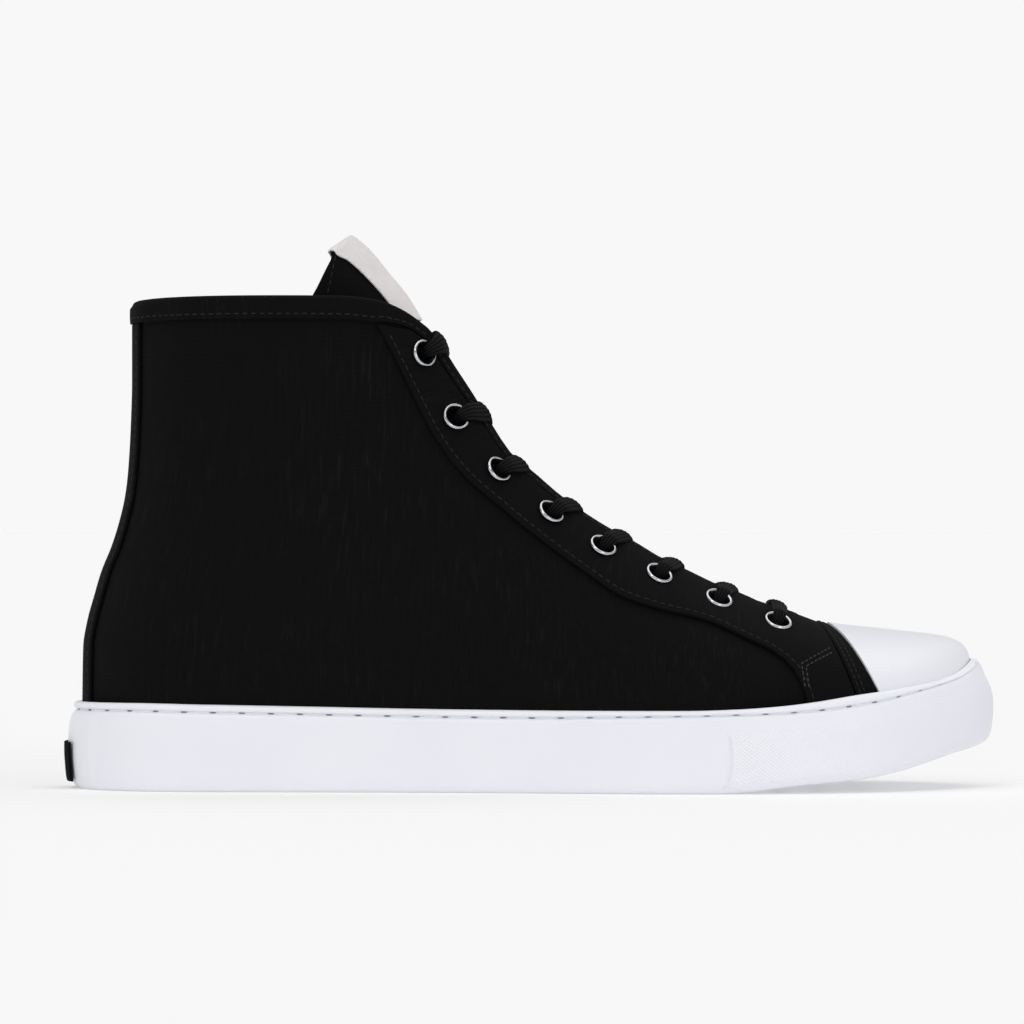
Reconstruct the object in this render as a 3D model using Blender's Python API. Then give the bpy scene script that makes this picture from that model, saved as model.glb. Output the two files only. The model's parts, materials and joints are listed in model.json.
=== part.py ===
"""High top canvas sneaker, right shoe, standing empty on its cup sole.

Built in millimetres with X from the sole's back to the toe, +Y to the inner (medial) side and +Z up,
then placed in metres with the middle of its footprint at the origin.
"""

import math

import bpy
import numpy as np

# Driving sizes, in millimetres.
SOLE_LENGTH = 300.0
BALL_HALF = 53.0
UPPER_HEIGHT = 159.0
WALL_HEIGHT = 26.0
TOE_SPRING = 14.0
TOE_RISE = 7.0
TOE_TURN = 8.0
HEEL_ROUND = 42.0
TOE_ROUND = 75.0
HEEL_LEAN = 16.8
SOLE_THICK_HEEL = 15.0
SOLE_THICK_BALL = 10.0
GROOVE_DROP = 3.0
TREAD_DEPTH = 1.8
TREAD_WIDTH = 3.0
TREAD_MARGIN = 9.0
PAD_BULGE = 1.7
PANEL_STEP = 0.5
CLOTH = 1.8
FACING = 1.0
CAP_THICK = 1.5
TAPE = 0.8
TAPE_HEIGHT = 6.3
TAPE_THROAT = 3.4
TAPE_INSIDE = 3.0
SEAM_GAP = 0.8
TONGUE_THICK = 3.0
LABEL_THICK = 0.6
INSOLE_THICK = 4.0
GAP = 0.3
LAY = 0.55
SEAT = 0.2
CUP_GAP = 0.6
CUP_INSET = 2.2
CUP_TOE_INSET = 7.0
SKIRT = 3.5
BARREL_RADIUS = 2.9
BORE_RADIUS = 2.4
FLANGE_RADIUS = 4.5
HOLE_RADIUS = 3.25
FLANGE_THICK = 0.9
FLANGE_SEAT = LAY + FACING + 0.85
LACE_WIDTH = 8.0
LACE_THICK = 2.2
PATCH_WIDTH = 25.0
PATCH_THICK = 0.9
STAY_WIDTH = 26.0

# Stations round the shoe, for each side, and the extra ones where an edge or a bend needs them.
SOLE_STATIONS = 26
UPPER_STATIONS = 24
PAD_EDGES = (0.0255, 0.0275)
PANEL_EDGES = (0.7065, 0.7095)
UPPER_LEVELS = tuple(k / 8 for k in range(9))
THROAT_EXTRA = (0.345, 0.392, 0.423, 0.452, 0.480, 0.535, 0.595, 0.655)

# Plan of the sole: share of the length, outer and inner half width as shares of the ball's half width.
PLAN = [
    (0.000, 0.660, 0.655),
    (0.067, 0.685, 0.674),
    (0.150, 0.708, 0.698),
    (0.250, 0.736, 0.708),
    (0.350, 0.774, 0.670),
    (0.450, 0.853, 0.675),
    (0.550, 0.967, 0.769),
    (0.650, 1.062, 0.868),
    (0.717, 1.081, 0.891),
    (0.783, 1.055, 0.880),
    (0.850, 1.011, 0.860),
    (0.917, 0.949, 0.825),
    (0.967, 0.853, 0.791),
    (1.000, 0.755, 0.755),
]

# Underside: share of the length, share of the toe spring.
UNDERSIDE = [
    (0.00, 0.0),
    (0.70, 0.0),
    (0.73, 0.05),
    (0.76, 0.165),
    (0.80, 0.30),
    (0.85, 0.43),
    (0.90, 0.62),
    (0.95, 0.81),
    (1.00, 1.00),
]

# Rim of the sole: share of the length, height as a share of the wall's height.
RIM = [
    (0.00, 1.100),
    (0.07, 1.112),
    (0.145, 1.081),
    (0.25, 1.038),
    (0.41, 1.008),
    (0.57, 1.000),
    (0.675, 1.012),
    (0.73, 1.035),
    (0.777, 1.092),
    (0.817, 1.158),
    (0.86, 1.242),
    (0.90, 1.285),
    (0.95, 1.346),
    (1.00, 1.381),
]

# Levels of the sole's wall: share of the way from the underside to the groove, insets at heel, side and toe,
# and how much of the heel pad and of the forefoot panel each level has.
WALL_LEVELS = [
    (0.000, 1.6, 2.0, 9.8, 0.00, 0.0),
    (0.045, 0.5, 0.8, 4.9, 0.10, 0.0),
    (0.130, 0.1, 0.2, 1.6, 0.55, 1.0),
    (0.270, 0.0, 0.0, 0.5, 0.80, 1.0),
    (0.500, 0.0, 0.0, 0.0, 1.00, 1.0),
    (0.680, 0.0, 0.0, 0.5, 1.00, 1.0),
    (0.840, 0.0, 0.0, 2.2, 0.75, 0.0),
    (0.955, 0.0, 0.0, 3.9, 0.20, 0.0),
    (1.000, 0.8, 0.8, 5.6, 0.00, 0.0),
]

# Lip above the groove: height above the groove as a share of its drop, then the three insets.
LIP_LEVELS = [
    (0.28, 0.1, 0.1, 4.9),
    (0.72, 0.3, 0.3, 5.2),
    (1.00, 0.9, 0.9, 5.8),
    (0.92, CUP_INSET, CUP_INSET, CUP_TOE_INSET),
]

# The upper stands inside the cup, with room for what lies on it: facing at the heel, cap at the toe.
UPPER_HEEL_INSET = CUP_INSET + CUP_GAP + LAY + FACING
UPPER_TOE_INSET = CUP_TOE_INSET + CUP_GAP + LAY + CAP_THICK

# Top line of the upper: share of the length at the sole, height as a share of the upper's, and how much of
# the full half width the opening has there.
TOP_LINE = [
    (0.000, 0.974, 1.00),
    (0.020, 0.985, 1.00),
    (0.060, 0.991, 1.00),
    (0.180, 0.994, 1.00),
    (0.275, 0.993, 1.00),
    (0.324, 0.984, 0.93),
    (0.350, 0.968, 0.81),
    (0.374, 0.942, 0.66),
    (0.388, 0.922, 0.585),
    (0.412, 0.855, 0.53),
    (0.433, 0.794, 0.505),
    (0.452, 0.735, 0.48),
    (0.471, 0.681, 0.455),
    (0.497, 0.639, 0.43),
    (0.527, 0.590, 0.395),
    (0.574, 0.530, 0.350),
    (0.606, 0.497, 0.325),
    (0.633, 0.466, 0.305),
    (0.664, 0.438, 0.285),
    (0.696, 0.409, 0.262),
    (0.724, 0.389, 0.245),
    (0.740, 0.375, 0.235),
]

# Ridge of the vamp ahead of the throat: share of the length, height as a share of the upper's.
RIDGE = [
    (0.773, 0.360),
    (0.797, 0.339),
    (0.817, 0.326),
    (0.833, 0.321),
    (0.873, 0.313),
    (0.903, 0.307),
    (0.937, 0.303),
    (0.970, 0.302),
]

# Shaft: height as a share of the upper's, share of the full lean at the heel, width as a share of the base.
SHAFT = [
    (0.17, 0.00, 1.00),
    (0.29, 0.02, 0.99),
    (0.34, 0.10, 0.965),
    (0.39, 0.235, 0.935),
    (0.44, 0.38, 0.90),
    (0.49, 0.58, 0.87),
    (0.54, 0.735, 0.845),
    (0.59, 0.85, 0.825),
    (0.64, 0.915, 0.815),
    (0.74, 0.975, 0.81),
    (0.83, 1.00, 0.82),
    (1.00, 1.00, 0.86),
]

SHAFT_END = 118.0 / 300.0
THROAT_TURN = 222.0 / 300.0
THROAT_END = 238.8 / 300.0
CAP_START = 255.0 / 300.0
SECTION_UP = 2.0
SECTION_OUT = 1.9
TOE_POWER = 5.0
HEEL_POWER = 2.1
PLAN_POWER = 2.2

# Tongue, from its top down: middle of the section and its edge (x, z) as shares of length and height, and half
# width at the edge as a share of the ball's half width.
TONGUE = [
    (0.3035, 1.1230, 0.2833, 1.0830, 0.400),
    (0.3190, 1.0980, 0.2760, 1.0560, 0.425),
    (0.3390, 1.0520, 0.2680, 1.0240, 0.445),
    (0.3610, 1.0010, 0.2590, 0.9870, 0.460),
    (0.3780, 0.9470, 0.2560, 0.9400, 0.470),
    (0.3950, 0.8900, 0.2900, 0.8350, 0.470),
    (0.4180, 0.8230, 0.3430, 0.7420, 0.465),
    (0.4480, 0.7310, 0.3900, 0.6540, 0.465),
    (0.4920, 0.6340, 0.4470, 0.5590, 0.485),
    (0.5680, 0.5240, 0.5400, 0.4580, 0.495),
    (0.6600, 0.4280, 0.6430, 0.3640, 0.495),
    (0.7450, 0.3560, 0.7300, 0.3050, 0.480),
    (0.8130, 0.3080, 0.8000, 0.2650, 0.440),
]
TONGUE_WRAP = [84, 84, 84, 84, 84, 82, 80, 78, 72, 66, 62, 58, 56]

# Eyelets from the top down: middle as shares of length and of the upper's height.
EYELETS = [
    (0.3783, 0.8824),
    (0.4140, 0.7522),
    (0.4580, 0.6447),
    (0.5143, 0.5566),
    (0.5703, 0.4862),
    (0.6303, 0.4289),
    (0.6947, 0.3774),
    (0.7587, 0.3314),
]

# Facing from the top down: where its inner edge follows the opening (share of the length at the sole), then its
# outer edge as shares of length and height.
FACING_THROAT = [
    (0.3640, 0.3310, 0.9420),
    (0.3770, 0.3360, 0.9250),
    (0.4000, 0.3477, 0.8820),
    (0.4210, 0.3697, 0.7975),
    (0.4420, 0.3930, 0.7145),
    (0.4650, 0.4233, 0.6377),
    (0.4950, 0.4637, 0.5692),
    (0.5270, 0.5000, 0.5130),
    (0.5700, 0.5520, 0.4400),
    (0.6070, 0.5950, 0.3880),
    (0.6400, 0.6330, 0.3640),
    (0.6800, 0.6800, 0.3420),
    (0.7200, 0.7230, 0.3060),
    (0.7670, 0.7500, 0.2820),
    (0.8530, 0.7650, 0.2620),
]

# Foot of the facing: how far up the band its front edge is (0 at the rim, 1 at the ridge), then its rear edge.
FACING_FOOT = [
    (0.850, 0.7690, 0.2540),
    (0.700, 0.7740, 0.2440),
    (0.575, 0.7777, 0.2330),
    (0.450, 0.7810, 0.2215),
    (0.325, 0.7837, 0.2100),
    (0.200, 0.7860, 0.2000),
    (0.100, 0.7873, 0.1912),
    (0.000, 0.7883, 0.1818),
    (0.000, 0.7893, 0.1604),
]

CAP_REAR_RIM = 259.1 / 300.0
CAP_REAR_RIDGE = 243.4 / 300.0
CAP_REAR_ROUND = 12.0
BAND_RIM = 6.4
BAND_RIDGE = 3.0

# Grooves of the tread, as shares of the length.
TREAD = [0.08, 0.13, 0.18, 0.23, 0.62, 0.665, 0.71, 0.755, 0.80, 0.845]

for old in list(bpy.data.objects):
    bpy.data.objects.remove(old, do_unlink=True)


def curve(rows, column):
    """A smooth function through one column of a table, with no overshoot."""
    xs = np.array([row[0] for row in rows], float)
    ys = np.array([row[column] for row in rows], float)
    h = np.diff(xs)
    d = np.diff(ys) / h
    slope = np.zeros(len(xs))
    slope[0], slope[-1] = d[0], d[-1]
    for i in range(1, len(xs) - 1):
        if d[i - 1] * d[i] > 0:
            w1 = 2 * h[i] + h[i - 1]
            w2 = h[i] + 2 * h[i - 1]
            slope[i] = (w1 + w2) / (w1 / d[i - 1] + w2 / d[i])

    def value(x):
        x = min(max(float(x), xs[0]), xs[-1])
        i = min(int(np.searchsorted(xs, x, side="right")) - 1, len(h) - 1)
        t = (x - xs[i]) / h[i]
        return float(
            (1 + 2 * t) * (1 - t) ** 2 * ys[i]
            + t * (1 - t) ** 2 * h[i] * slope[i]
            + t * t * (3 - 2 * t) * ys[i + 1]
            + t * t * (t - 1) * h[i] * slope[i + 1]
        )

    return value


def smooth(t):
    t = min(max(t, 0.0), 1.0)
    return t * t * (3 - 2 * t)


def power(base, exponent):
    return max(base, 0.0) ** exponent


plan_out = curve(PLAN, 1)
plan_in = curve(PLAN, 2)
underside = curve(UNDERSIDE, 1)
rim_share = curve(RIM, 1)
top_height = curve(TOP_LINE, 1)
top_open = curve(TOP_LINE, 2)
shaft_lean = curve(SHAFT, 1)
shaft_width = curve(SHAFT, 2)


def middle(x):
    """Y of the middle line, which turns inward toward the toe."""
    return TOE_TURN * smooth((x - 0.4 * SOLE_LENGTH) / (0.6 * SOLE_LENGTH))


def ends(x, heel, toe):
    """How much of the full width is left at x, between the rounded ends of a ring inset by heel and toe."""
    last = SOLE_LENGTH - toe
    start = SOLE_LENGTH - TOE_ROUND
    back = max(0.0, (HEEL_ROUND - x) / (HEEL_ROUND - heel))
    front = max(0.0, (x - start) / (last - start))
    behind = power(1 - back**HEEL_POWER, 1 / HEEL_POWER)
    ahead = power(1 - front**PLAN_POWER, 1 / PLAN_POWER)
    return behind * ahead


def half_width(x, side, heel, inset, toe):
    full = (plan_out if side < 0 else plan_in)(x / SOLE_LENGTH) * BALL_HALF
    return (full - inset) * ends(x, heel, toe)


def ring_x(share, heel, toe):
    return heel + (SOLE_LENGTH - toe - heel) * share


def ring_point(share, side, heel, inset, toe):
    x = ring_x(share, heel, toe)
    return x, middle(x) + side * half_width(x, side, heel, inset, toe)


def upper_inset(share):
    """Inset of the upper at the side: bare behind, with room for the facing's foot and then for the cap."""
    foot = smooth((share - 0.70) / 0.07) + 1 - smooth((share - 0.03) / 0.05)
    cap = smooth((share - 0.80) / 0.05)
    return CUP_INSET + CUP_GAP + (LAY + FACING) * foot + (CAP_THICK - FACING) * cap


def bottom_z(share):
    return underside(share) * TOE_SPRING


def toe_hump(share):
    """Extra height of the rim round the toe's tip."""
    return TOE_RISE * power(1 - (ends(share * SOLE_LENGTH, 0, 0) / 0.65) ** 2, 2) if share > 0.8 else 0.0


def rim_z(share):
    return rim_share(share) * WALL_HEIGHT


def floor_z(share):
    thick = SOLE_THICK_HEEL + (SOLE_THICK_BALL - SOLE_THICK_HEEL) * smooth((share - 0.2) / 0.4)
    return bottom_z(share) + thick


def stations(count, extra=()):
    """Shares from heel to toe, close together at both ends, with extra ones at edges."""
    base = [(1 - math.cos(math.pi * k / count)) / 2 for k in range(count + 1)]
    kept = [b for b in base if all(abs(b - e) > 0.006 for e in extra)]
    return sorted(kept + list(extra))


def loop_of(shares):
    """Stations all the way round: heel, outer side, toe, inner side."""
    there = [(s, -1) for s in shares]
    back = [(s, 1) for s in reversed(shares[1:-1])]
    return there + back


def footprint_middle():
    """Middle of the whole shoe's box in plan, with the patch on the heel."""
    shares = stations(SOLE_STATIONS, PAD_EDGES + PANEL_EDGES)
    steps = [-PANEL_STEP if s >= PANEL_EDGES[1] else 0.0 for s in shares]
    outer = min(ring_point(s, -1, 0.0, step, 0.0)[1] for s, step in zip(shares, steps))
    inner = max(ring_point(s, 1, 0.0, step, 0.0)[1] for s, step in zip(shares, steps))
    behind = PAD_BULGE + LAY + PATCH_THICK
    return (SOLE_LENGTH - behind) / 2, (outer + inner) / 2


def add_solid(name, points, faces, colour, roughness, metallic=0.0, smooth_shade=True):
    """One closed body from points in millimetres."""
    mesh = bpy.data.meshes.new(name)
    origin = np.array([*footprint_middle(), 0.0])
    mesh.from_pydata([tuple((np.array(p) - origin) / 1000) for p in points], [], faces)
    obj = bpy.data.objects.new(name, mesh)
    bpy.context.scene.collection.objects.link(obj)
    bpy.ops.object.select_all(action="DESELECT")
    obj.select_set(True)
    bpy.context.view_layer.objects.active = obj
    bpy.ops.object.mode_set(mode="EDIT")
    bpy.ops.mesh.select_all(action="SELECT")
    bpy.ops.mesh.remove_doubles(threshold=1e-5)
    bpy.ops.mesh.normals_make_consistent(inside=False)
    bpy.ops.object.mode_set(mode="OBJECT")
    mesh.polygons.foreach_set("use_smooth", [smooth_shade] * len(mesh.polygons))
    material = bpy.data.materials.new(name)
    material.use_nodes = True
    shader = material.node_tree.nodes["Principled BSDF"]
    shader.inputs["Base Color"].default_value = (*colour, 1.0)
    shader.inputs["Roughness"].default_value = roughness
    shader.inputs["Metallic"].default_value = metallic
    mesh.materials.append(material)
    return obj


def ring_faces(rows, count):
    """Quads between closed rings of count points each, in order."""
    faces = []
    for r in range(rows - 1):
        for k in range(count):
            n = (k + 1) % count
            faces.append((r * count + k, r * count + n, (r + 1) * count + n, (r + 1) * count + k))
    return faces


def ladder_faces(first, shares, count, flip):
    """Quads across a ring that starts at point first, from each outer station to its inner partner."""
    last = len(shares) - 1
    faces = [(first, first + 1, first + count - 1)]
    for k in range(1, last - 1):
        faces.append((first + k, first + k + 1, first + count - k - 1, first + count - k))
    faces.append((first + last - 1, first + last, first + last + 1))
    return [tuple(reversed(f)) for f in faces] if flip else faces


def make_sole():
    shares = stations(SOLE_STATIONS, PAD_EDGES + PANEL_EDGES)
    around = loop_of(shares)
    rings = []
    for level, heel, side_in, toe, pad_share, panel_share in WALL_LEVELS:
        ring = []
        for share, side in around:
            out = PAD_BULGE * pad_share if share <= PAD_EDGES[0] else 0.0
            fade = 1 - smooth((share - 0.85) / 0.1)
            lift = PANEL_STEP * panel_share * fade if share >= PANEL_EDGES[1] else 0.0
            x, y = ring_point(share, side, heel - out, side_in - lift, toe)
            low = bottom_z(share)
            groove = rim_z(share) + toe_hump(share) - GROOVE_DROP
            ring.append((x, y, low + level * (groove - low)))
        rings.append(ring)
    for level, heel, side_in, toe in LIP_LEVELS:
        ring = []
        for share, side in around:
            x, y = ring_point(share, side, heel, side_in, toe)
            groove = rim_z(share) + toe_hump(share) - GROOVE_DROP
            ring.append((x, y, groove + level * GROOVE_DROP))
        rings.append(ring)
    ring = []
    for share, side in around:
        x, y = ring_point(share, side, CUP_INSET, CUP_INSET, CUP_TOE_INSET)
        ring.append((x, y, floor_z(share)))
    rings.append(ring)
    count = len(around)
    points = [p for ring in rings for p in ring]
    faces = ring_faces(len(rings), count)
    faces += ladder_faces(0, shares, count, True)
    faces += ladder_faces((len(rings) - 1) * count, shares, count, False)
    return add_solid("sole", points, faces, (0.80, 0.81, 0.83), 0.45)


def make_insole():
    shares = stations(UPPER_STATIONS, THROAT_EXTRA)
    around = loop_of(shares)
    count = len(around)
    rings = []
    for lift, inward in ((GAP, 0.0), (GAP + INSOLE_THICK, 0.0)):
        ring = []
        for share, side in around:
            inset = upper_inset(share) + CLOTH + 0.5 + inward
            x, y = ring_point(share, side, UPPER_HEEL_INSET + CLOTH + 0.5, inset, UPPER_TOE_INSET + CLOTH + 0.6)
            ring.append((x, y, floor_z(share) + lift))
        rings.append(ring)
    points = [p for ring in rings for p in ring]
    faces = ring_faces(2, count)
    faces += ladder_faces(0, shares, count, True)
    faces += ladder_faces(count, shares, count, False)
    return add_solid("insole", points, faces, (0.03, 0.03, 0.03), 0.9)


def base_width(x, side):
    """Half width of the upper at the sole's rim."""
    return half_width(x, side, UPPER_HEEL_INSET, upper_inset(x / SOLE_LENGTH), UPPER_TOE_INSET)


def base_z(x):
    return rim_z((x - UPPER_HEEL_INSET) / (SOLE_LENGTH - UPPER_TOE_INSET - UPPER_HEEL_INSET))


def narrowing(x, z):
    """The shaft's width at height z as a share of its base, fading out over the vamp."""
    fade = 1 - smooth((x / SOLE_LENGTH - 0.317) / 0.183)
    return 1 - (1 - shaft_width(z / UPPER_HEIGHT)) * fade


def lean(x, z):
    """How far forward the shaft has moved at height z above the place x of its base."""
    return HEEL_LEAN * shaft_lean(z / UPPER_HEIGHT) * max(0.0, 1 - x / (SHAFT_END * SOLE_LENGTH))


def top_z(x):
    return top_height(x / SOLE_LENGTH) * UPPER_HEIGHT


def closing(x):
    """One over the height from rim to virtual ridge at x, where the opening's edge is on the section."""
    open_share = top_open(x / SOLE_LENGTH)
    return power(1 - open_share**SECTION_OUT, 1 / SECTION_UP) / (top_z(x) - base_z(x))


turn_x = THROAT_TURN * SOLE_LENGTH
turn_ridge = (base_z(turn_x) + 1 / closing(turn_x)) / UPPER_HEIGHT
ridge_share = curve([(THROAT_TURN, turn_ridge)] + RIDGE, 1)


def inverse_height(x):
    if x <= turn_x:
        return closing(x)
    last = SOLE_LENGTH - UPPER_TOE_INSET
    start = CAP_START * SOLE_LENGTH
    front = max(0.0, (x - start) / (last - start))
    tall = (ridge_share(x / SOLE_LENGTH) * UPPER_HEIGHT - base_z(x)) * power(1 - front**TOE_POWER, 1 / TOE_POWER)
    return 1 / max(tall, 1e-3)


def skin_y(x, z, side):
    """Y of the upper's outer face where the base is at x and the height is z."""
    rise = max(0.0, z - base_z(x)) * inverse_height(x)
    share = power(1 - rise**SECTION_UP, 1 / SECTION_OUT)
    return middle(x) + side * base_width(x, side) * narrowing(x, z) * share


def skin_z(x, y, side):
    """Height of the vamp over a place in plan."""
    width = base_width(x, side)
    share = min(1.0, abs(y - middle(x)) / max(width, 1e-6))
    return base_z(x) + power(1 - share**SECTION_OUT, 1 / SECTION_UP) / inverse_height(x)


def rib(share, side, levels):
    """Points of the upper's outer face from the rim to its top edge, at one station."""
    x0, y0 = ring_point(share, side, UPPER_HEEL_INSET, 0.0, UPPER_TOE_INSET)
    x0 = ring_x(share, UPPER_HEEL_INSET, UPPER_TOE_INSET)
    low = base_z(x0)
    found = []
    if x0 <= turn_x:
        top = top_z(x0)
        end = math.asin(min(0.999, (top - low) * closing(x0)))
        for s in levels:
            z = low + (top - low) * (math.sin(end * s) / math.sin(end) if end > 1e-3 else s)
            found.append((x0 + lean(x0, z), skin_y(x0, z, side), z))
        return found
    y0 = middle(x0) + side * base_width(x0, side)
    angle = throat_angle(x0)
    reach = base_width(turn_x, side) * top_open(THROAT_TURN)
    x1 = turn_x + (THROAT_END * SOLE_LENGTH - turn_x) * math.sin(angle)
    y1 = middle(x1) + side * reach * math.cos(angle)
    end = math.radians(80)
    for s in levels:
        r = (1 - math.cos(end * s)) / (1 - math.cos(end))
        x = x0 + (x1 - x0) * r
        y = y0 + (y1 - y0) * r
        found.append((x, y, max(low, skin_z(x, y, side)) if s > 0 else low))
    return found


def throat_angle(x):
    """Where on the rounded end of the throat the rib from x ends."""
    last = SOLE_LENGTH - UPPER_TOE_INSET
    return math.asin(math.sqrt(min(1.0, max(0.0, (x - turn_x) / (last - turn_x)))))


def normals_of(grid, closed):
    """Unit normals of a grid of points, rows by columns, with the rows running round when closed."""
    grid = np.array(grid)
    if closed:
        along = np.roll(grid, -1, 0) - np.roll(grid, 1, 0)
    else:
        along = np.gradient(grid, axis=0)
    across = np.gradient(grid, axis=1)
    n = np.cross(along, across)
    size = np.linalg.norm(n, axis=2, keepdims=True)
    return n / np.maximum(size, 1e-9)


def shell_faces(rows, columns, closed):
    """Faces of a body between an outer grid and an inner grid of the same size."""
    half = rows * columns
    faces = []
    steps = rows if closed else rows - 1
    for i in range(steps):
        n = (i + 1) % rows
        for j in range(columns - 1):
            a, b = i * columns + j, n * columns + j
            faces.append((a, b, b + 1, a + 1))
            faces.append((half + a, half + a + 1, half + b + 1, half + b))
        a, b = i * columns, n * columns
        faces.append((a, half + a, half + b, b))
        a, b = a + columns - 1, b + columns - 1
        faces.append((a, b, half + b, half + a))
    if not closed:
        for j in range(columns - 1):
            faces.append((j, j + 1, half + j + 1, half + j))
            a = (rows - 1) * columns + j
            faces.append((a, half + a, half + a + 1, a + 1))
    return faces


def make_upper():
    around = loop_of(stations(UPPER_STATIONS, THROAT_EXTRA))
    grid = []
    for share, side in around:
        column = rib(share, side, UPPER_LEVELS)
        foot = column[0]
        low = floor_z(share) + GAP
        grid.append([(foot[0], foot[1], low)] + column)
    outer = np.array(grid)
    normal = np.array([[outward_at(p, side) for p in line] for line, (share, side) in zip(grid, around)])
    inner = outer - normal * CLOTH
    inner[:, 0, 2] = outer[:, 0, 2]
    rows, columns = outer.shape[:2]
    points = list(outer.reshape(-1, 3)) + list(inner.reshape(-1, 3))
    return add_solid("upper", points, shell_faces(rows, columns, True), (0.010, 0.010, 0.011), 0.9)


def tongue_grid(steps):
    """Outer face of the tongue, rows from its top down and columns across."""
    grid = []
    for row, wrap in zip(TONGUE, TONGUE_WRAP):
        x, z, edge_x, edge_z, wide = row
        x, edge_x = x * SOLE_LENGTH, edge_x * SOLE_LENGTH
        z, edge_z = z * UPPER_HEIGHT, edge_z * UPPER_HEIGHT
        full = math.radians(wrap)
        line = []
        for k in range(steps + 1):
            turn = full * (2 * k / steps - 1)
            deep = (1 - math.cos(turn)) / (1 - math.cos(full))
            out = math.sin(turn) / math.sin(full)
            room = plan_in(x / SOLE_LENGTH) / plan_out(x / SOLE_LENGTH) if out > 0 else 1.0
            y = middle(x) + wide * BALL_HALF * out * room
            line.append((x + (edge_x - x) * deep, y, z + (edge_z - z) * deep))
        grid.append(line)
    return np.array(grid)


def make_tongue():
    outer = tongue_grid(8)
    normal = normals_of(outer, False)
    if normal[0, 4, 0] < 0:
        normal = -normal
    inner = outer - normal * TONGUE_THICK
    rows, columns = outer.shape[:2]
    points = list(outer.reshape(-1, 3)) + list(inner.reshape(-1, 3))
    return add_solid("tongue", points, shell_faces(rows, columns, False), (0.012, 0.012, 0.013), 0.9)


def sole_x(x):
    """Where the rib through the upper's base at x starts, as a share of the upper's ring."""
    return (x - UPPER_HEEL_INSET) / (SOLE_LENGTH - UPPER_TOE_INSET - UPPER_HEEL_INSET)


def base_of(x, z):
    """X of the base under a place on the shaft, which leans forward."""
    end = SHAFT_END * SOLE_LENGTH
    moved = HEEL_LEAN * shaft_lean(z / UPPER_HEIGHT)
    return max(UPPER_HEEL_INSET, (x - moved) / (1 - moved / end)) if x < end else x


def skin_at(x, z, side):
    """Point of the upper's outer face seen at x and z from its side."""
    return np.array([x, skin_y(base_of(x, z), z, side), z])


def half_at(x, z, side):
    return abs(skin_y(base_of(x, z), z, side) - middle(base_of(x, z)))


def outward_at(point, side):
    """Unit normal of the upper's outer face near a point, from the face's slopes."""
    x, y, z = point
    step = 0.3
    start = base_of(x, z)
    over = abs(y - middle(x)) < 0.5 * base_width(start, side) * narrowing(start, z)
    if over and start > SHAFT_END * SOLE_LENGTH and z > base_z(x) + 1:
        by_x = (skin_z(x + step, y, side) - skin_z(x - step, y, side)) / (2 * step)
        by_y = (skin_z(x, y + step, side) - skin_z(x, y - step, side)) / (2 * step)
        n = np.array([-by_x, -by_y, 1.0])
    else:
        by_x = (half_at(x + step, z, side) - half_at(x - step, z, side)) / (2 * step)
        by_z = (half_at(x, z + step, side) - half_at(x, z - step, side)) / (2 * step)
        turn = side * (middle(x + step) - middle(x - step)) / (2 * step)
        n = np.array([-by_x - turn, side if abs(y - middle(x)) > 0.01 else 0.0, -by_z])
    return n / np.linalg.norm(n)


def onto_skin(point, side):
    """Moves a point near the upper onto its outer face: sideways on the walls, down or up on the vamp."""
    x, y, z = point
    start = base_of(x, z)
    width = base_width(start, side) * narrowing(start, z)
    if abs(y - middle(x)) > 0.5 * width or start <= SHAFT_END * SOLE_LENGTH:
        return skin_at(x, z, side)
    return np.array([x, y, skin_z(x, y, side)])


def edge_point(u):
    """Point of the opening's edge: u runs from -1 at the throat's end along the outer side to 0 at the heel."""
    side = -1 if u < 0 else 1
    return np.array(rib(min(1.0, abs(u)), side, [1.0])[0])


def edge_frame(u):
    """Edge point, unit direction along the edge, outward normal, and the way down the upper from the edge."""
    side = -1 if u < 0 else 1
    step = 0.002
    along = edge_point(u + step) - edge_point(u - step)
    along /= np.linalg.norm(along)
    share = min(1.0, abs(u))
    top, below = np.array(rib(share, side, [1.0, 0.97]))
    down = below - top
    down -= along * down.dot(along)
    down /= np.linalg.norm(down)
    normal = np.cross(along, down)
    return top, along, normal, down


def below_edge(u, distance):
    side = -1 if u < 0 else 1
    x = ring_x(min(1.0, abs(u)), UPPER_HEEL_INSET, UPPER_TOE_INSET)
    if x < 0.28 * SOLE_LENGTH:
        z = top_z(x) - distance
        return np.array([x + lean(x, z), skin_y(x, z, side), z])
    top, along, normal, down = edge_frame(u)
    return onto_skin(top + down * distance, side)


def tape_height(u):
    """How far the binding reaches down from the opening's edge: full at the collar, narrower along the throat."""
    x = ring_x(min(1.0, abs(u)), UPPER_HEEL_INSET, UPPER_TOE_INSET)
    return TAPE_HEIGHT + (TAPE_THROAT - TAPE_HEIGHT) * smooth((x / SOLE_LENGTH - 0.31) / 0.06)


def edge_shares():
    """Stations of the opening's edge, from the heel to where the binding ends ahead."""
    end = sole_x(FACING_THROAT[-1][0] * SOLE_LENGTH)
    return [f for f in stations(UPPER_STATIONS, THROAT_EXTRA) if f < end - 0.01] + [end]


def patch(name, grid, sides, low, high, colour, roughness):
    """A sheet that follows a grid of points on the upper, between two heights above it."""
    outer, inner = [], []
    for line, line_sides in zip(grid, sides):
        for point, side in zip(line, line_sides):
            n = outward_at(point, side)
            outer.append(point + n * high)
            inner.append(point + n * low)
    rows, columns = len(grid), len(grid[0])
    return add_solid(name, outer + inner, shell_faces(rows, columns, False), colour, roughness)


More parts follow.
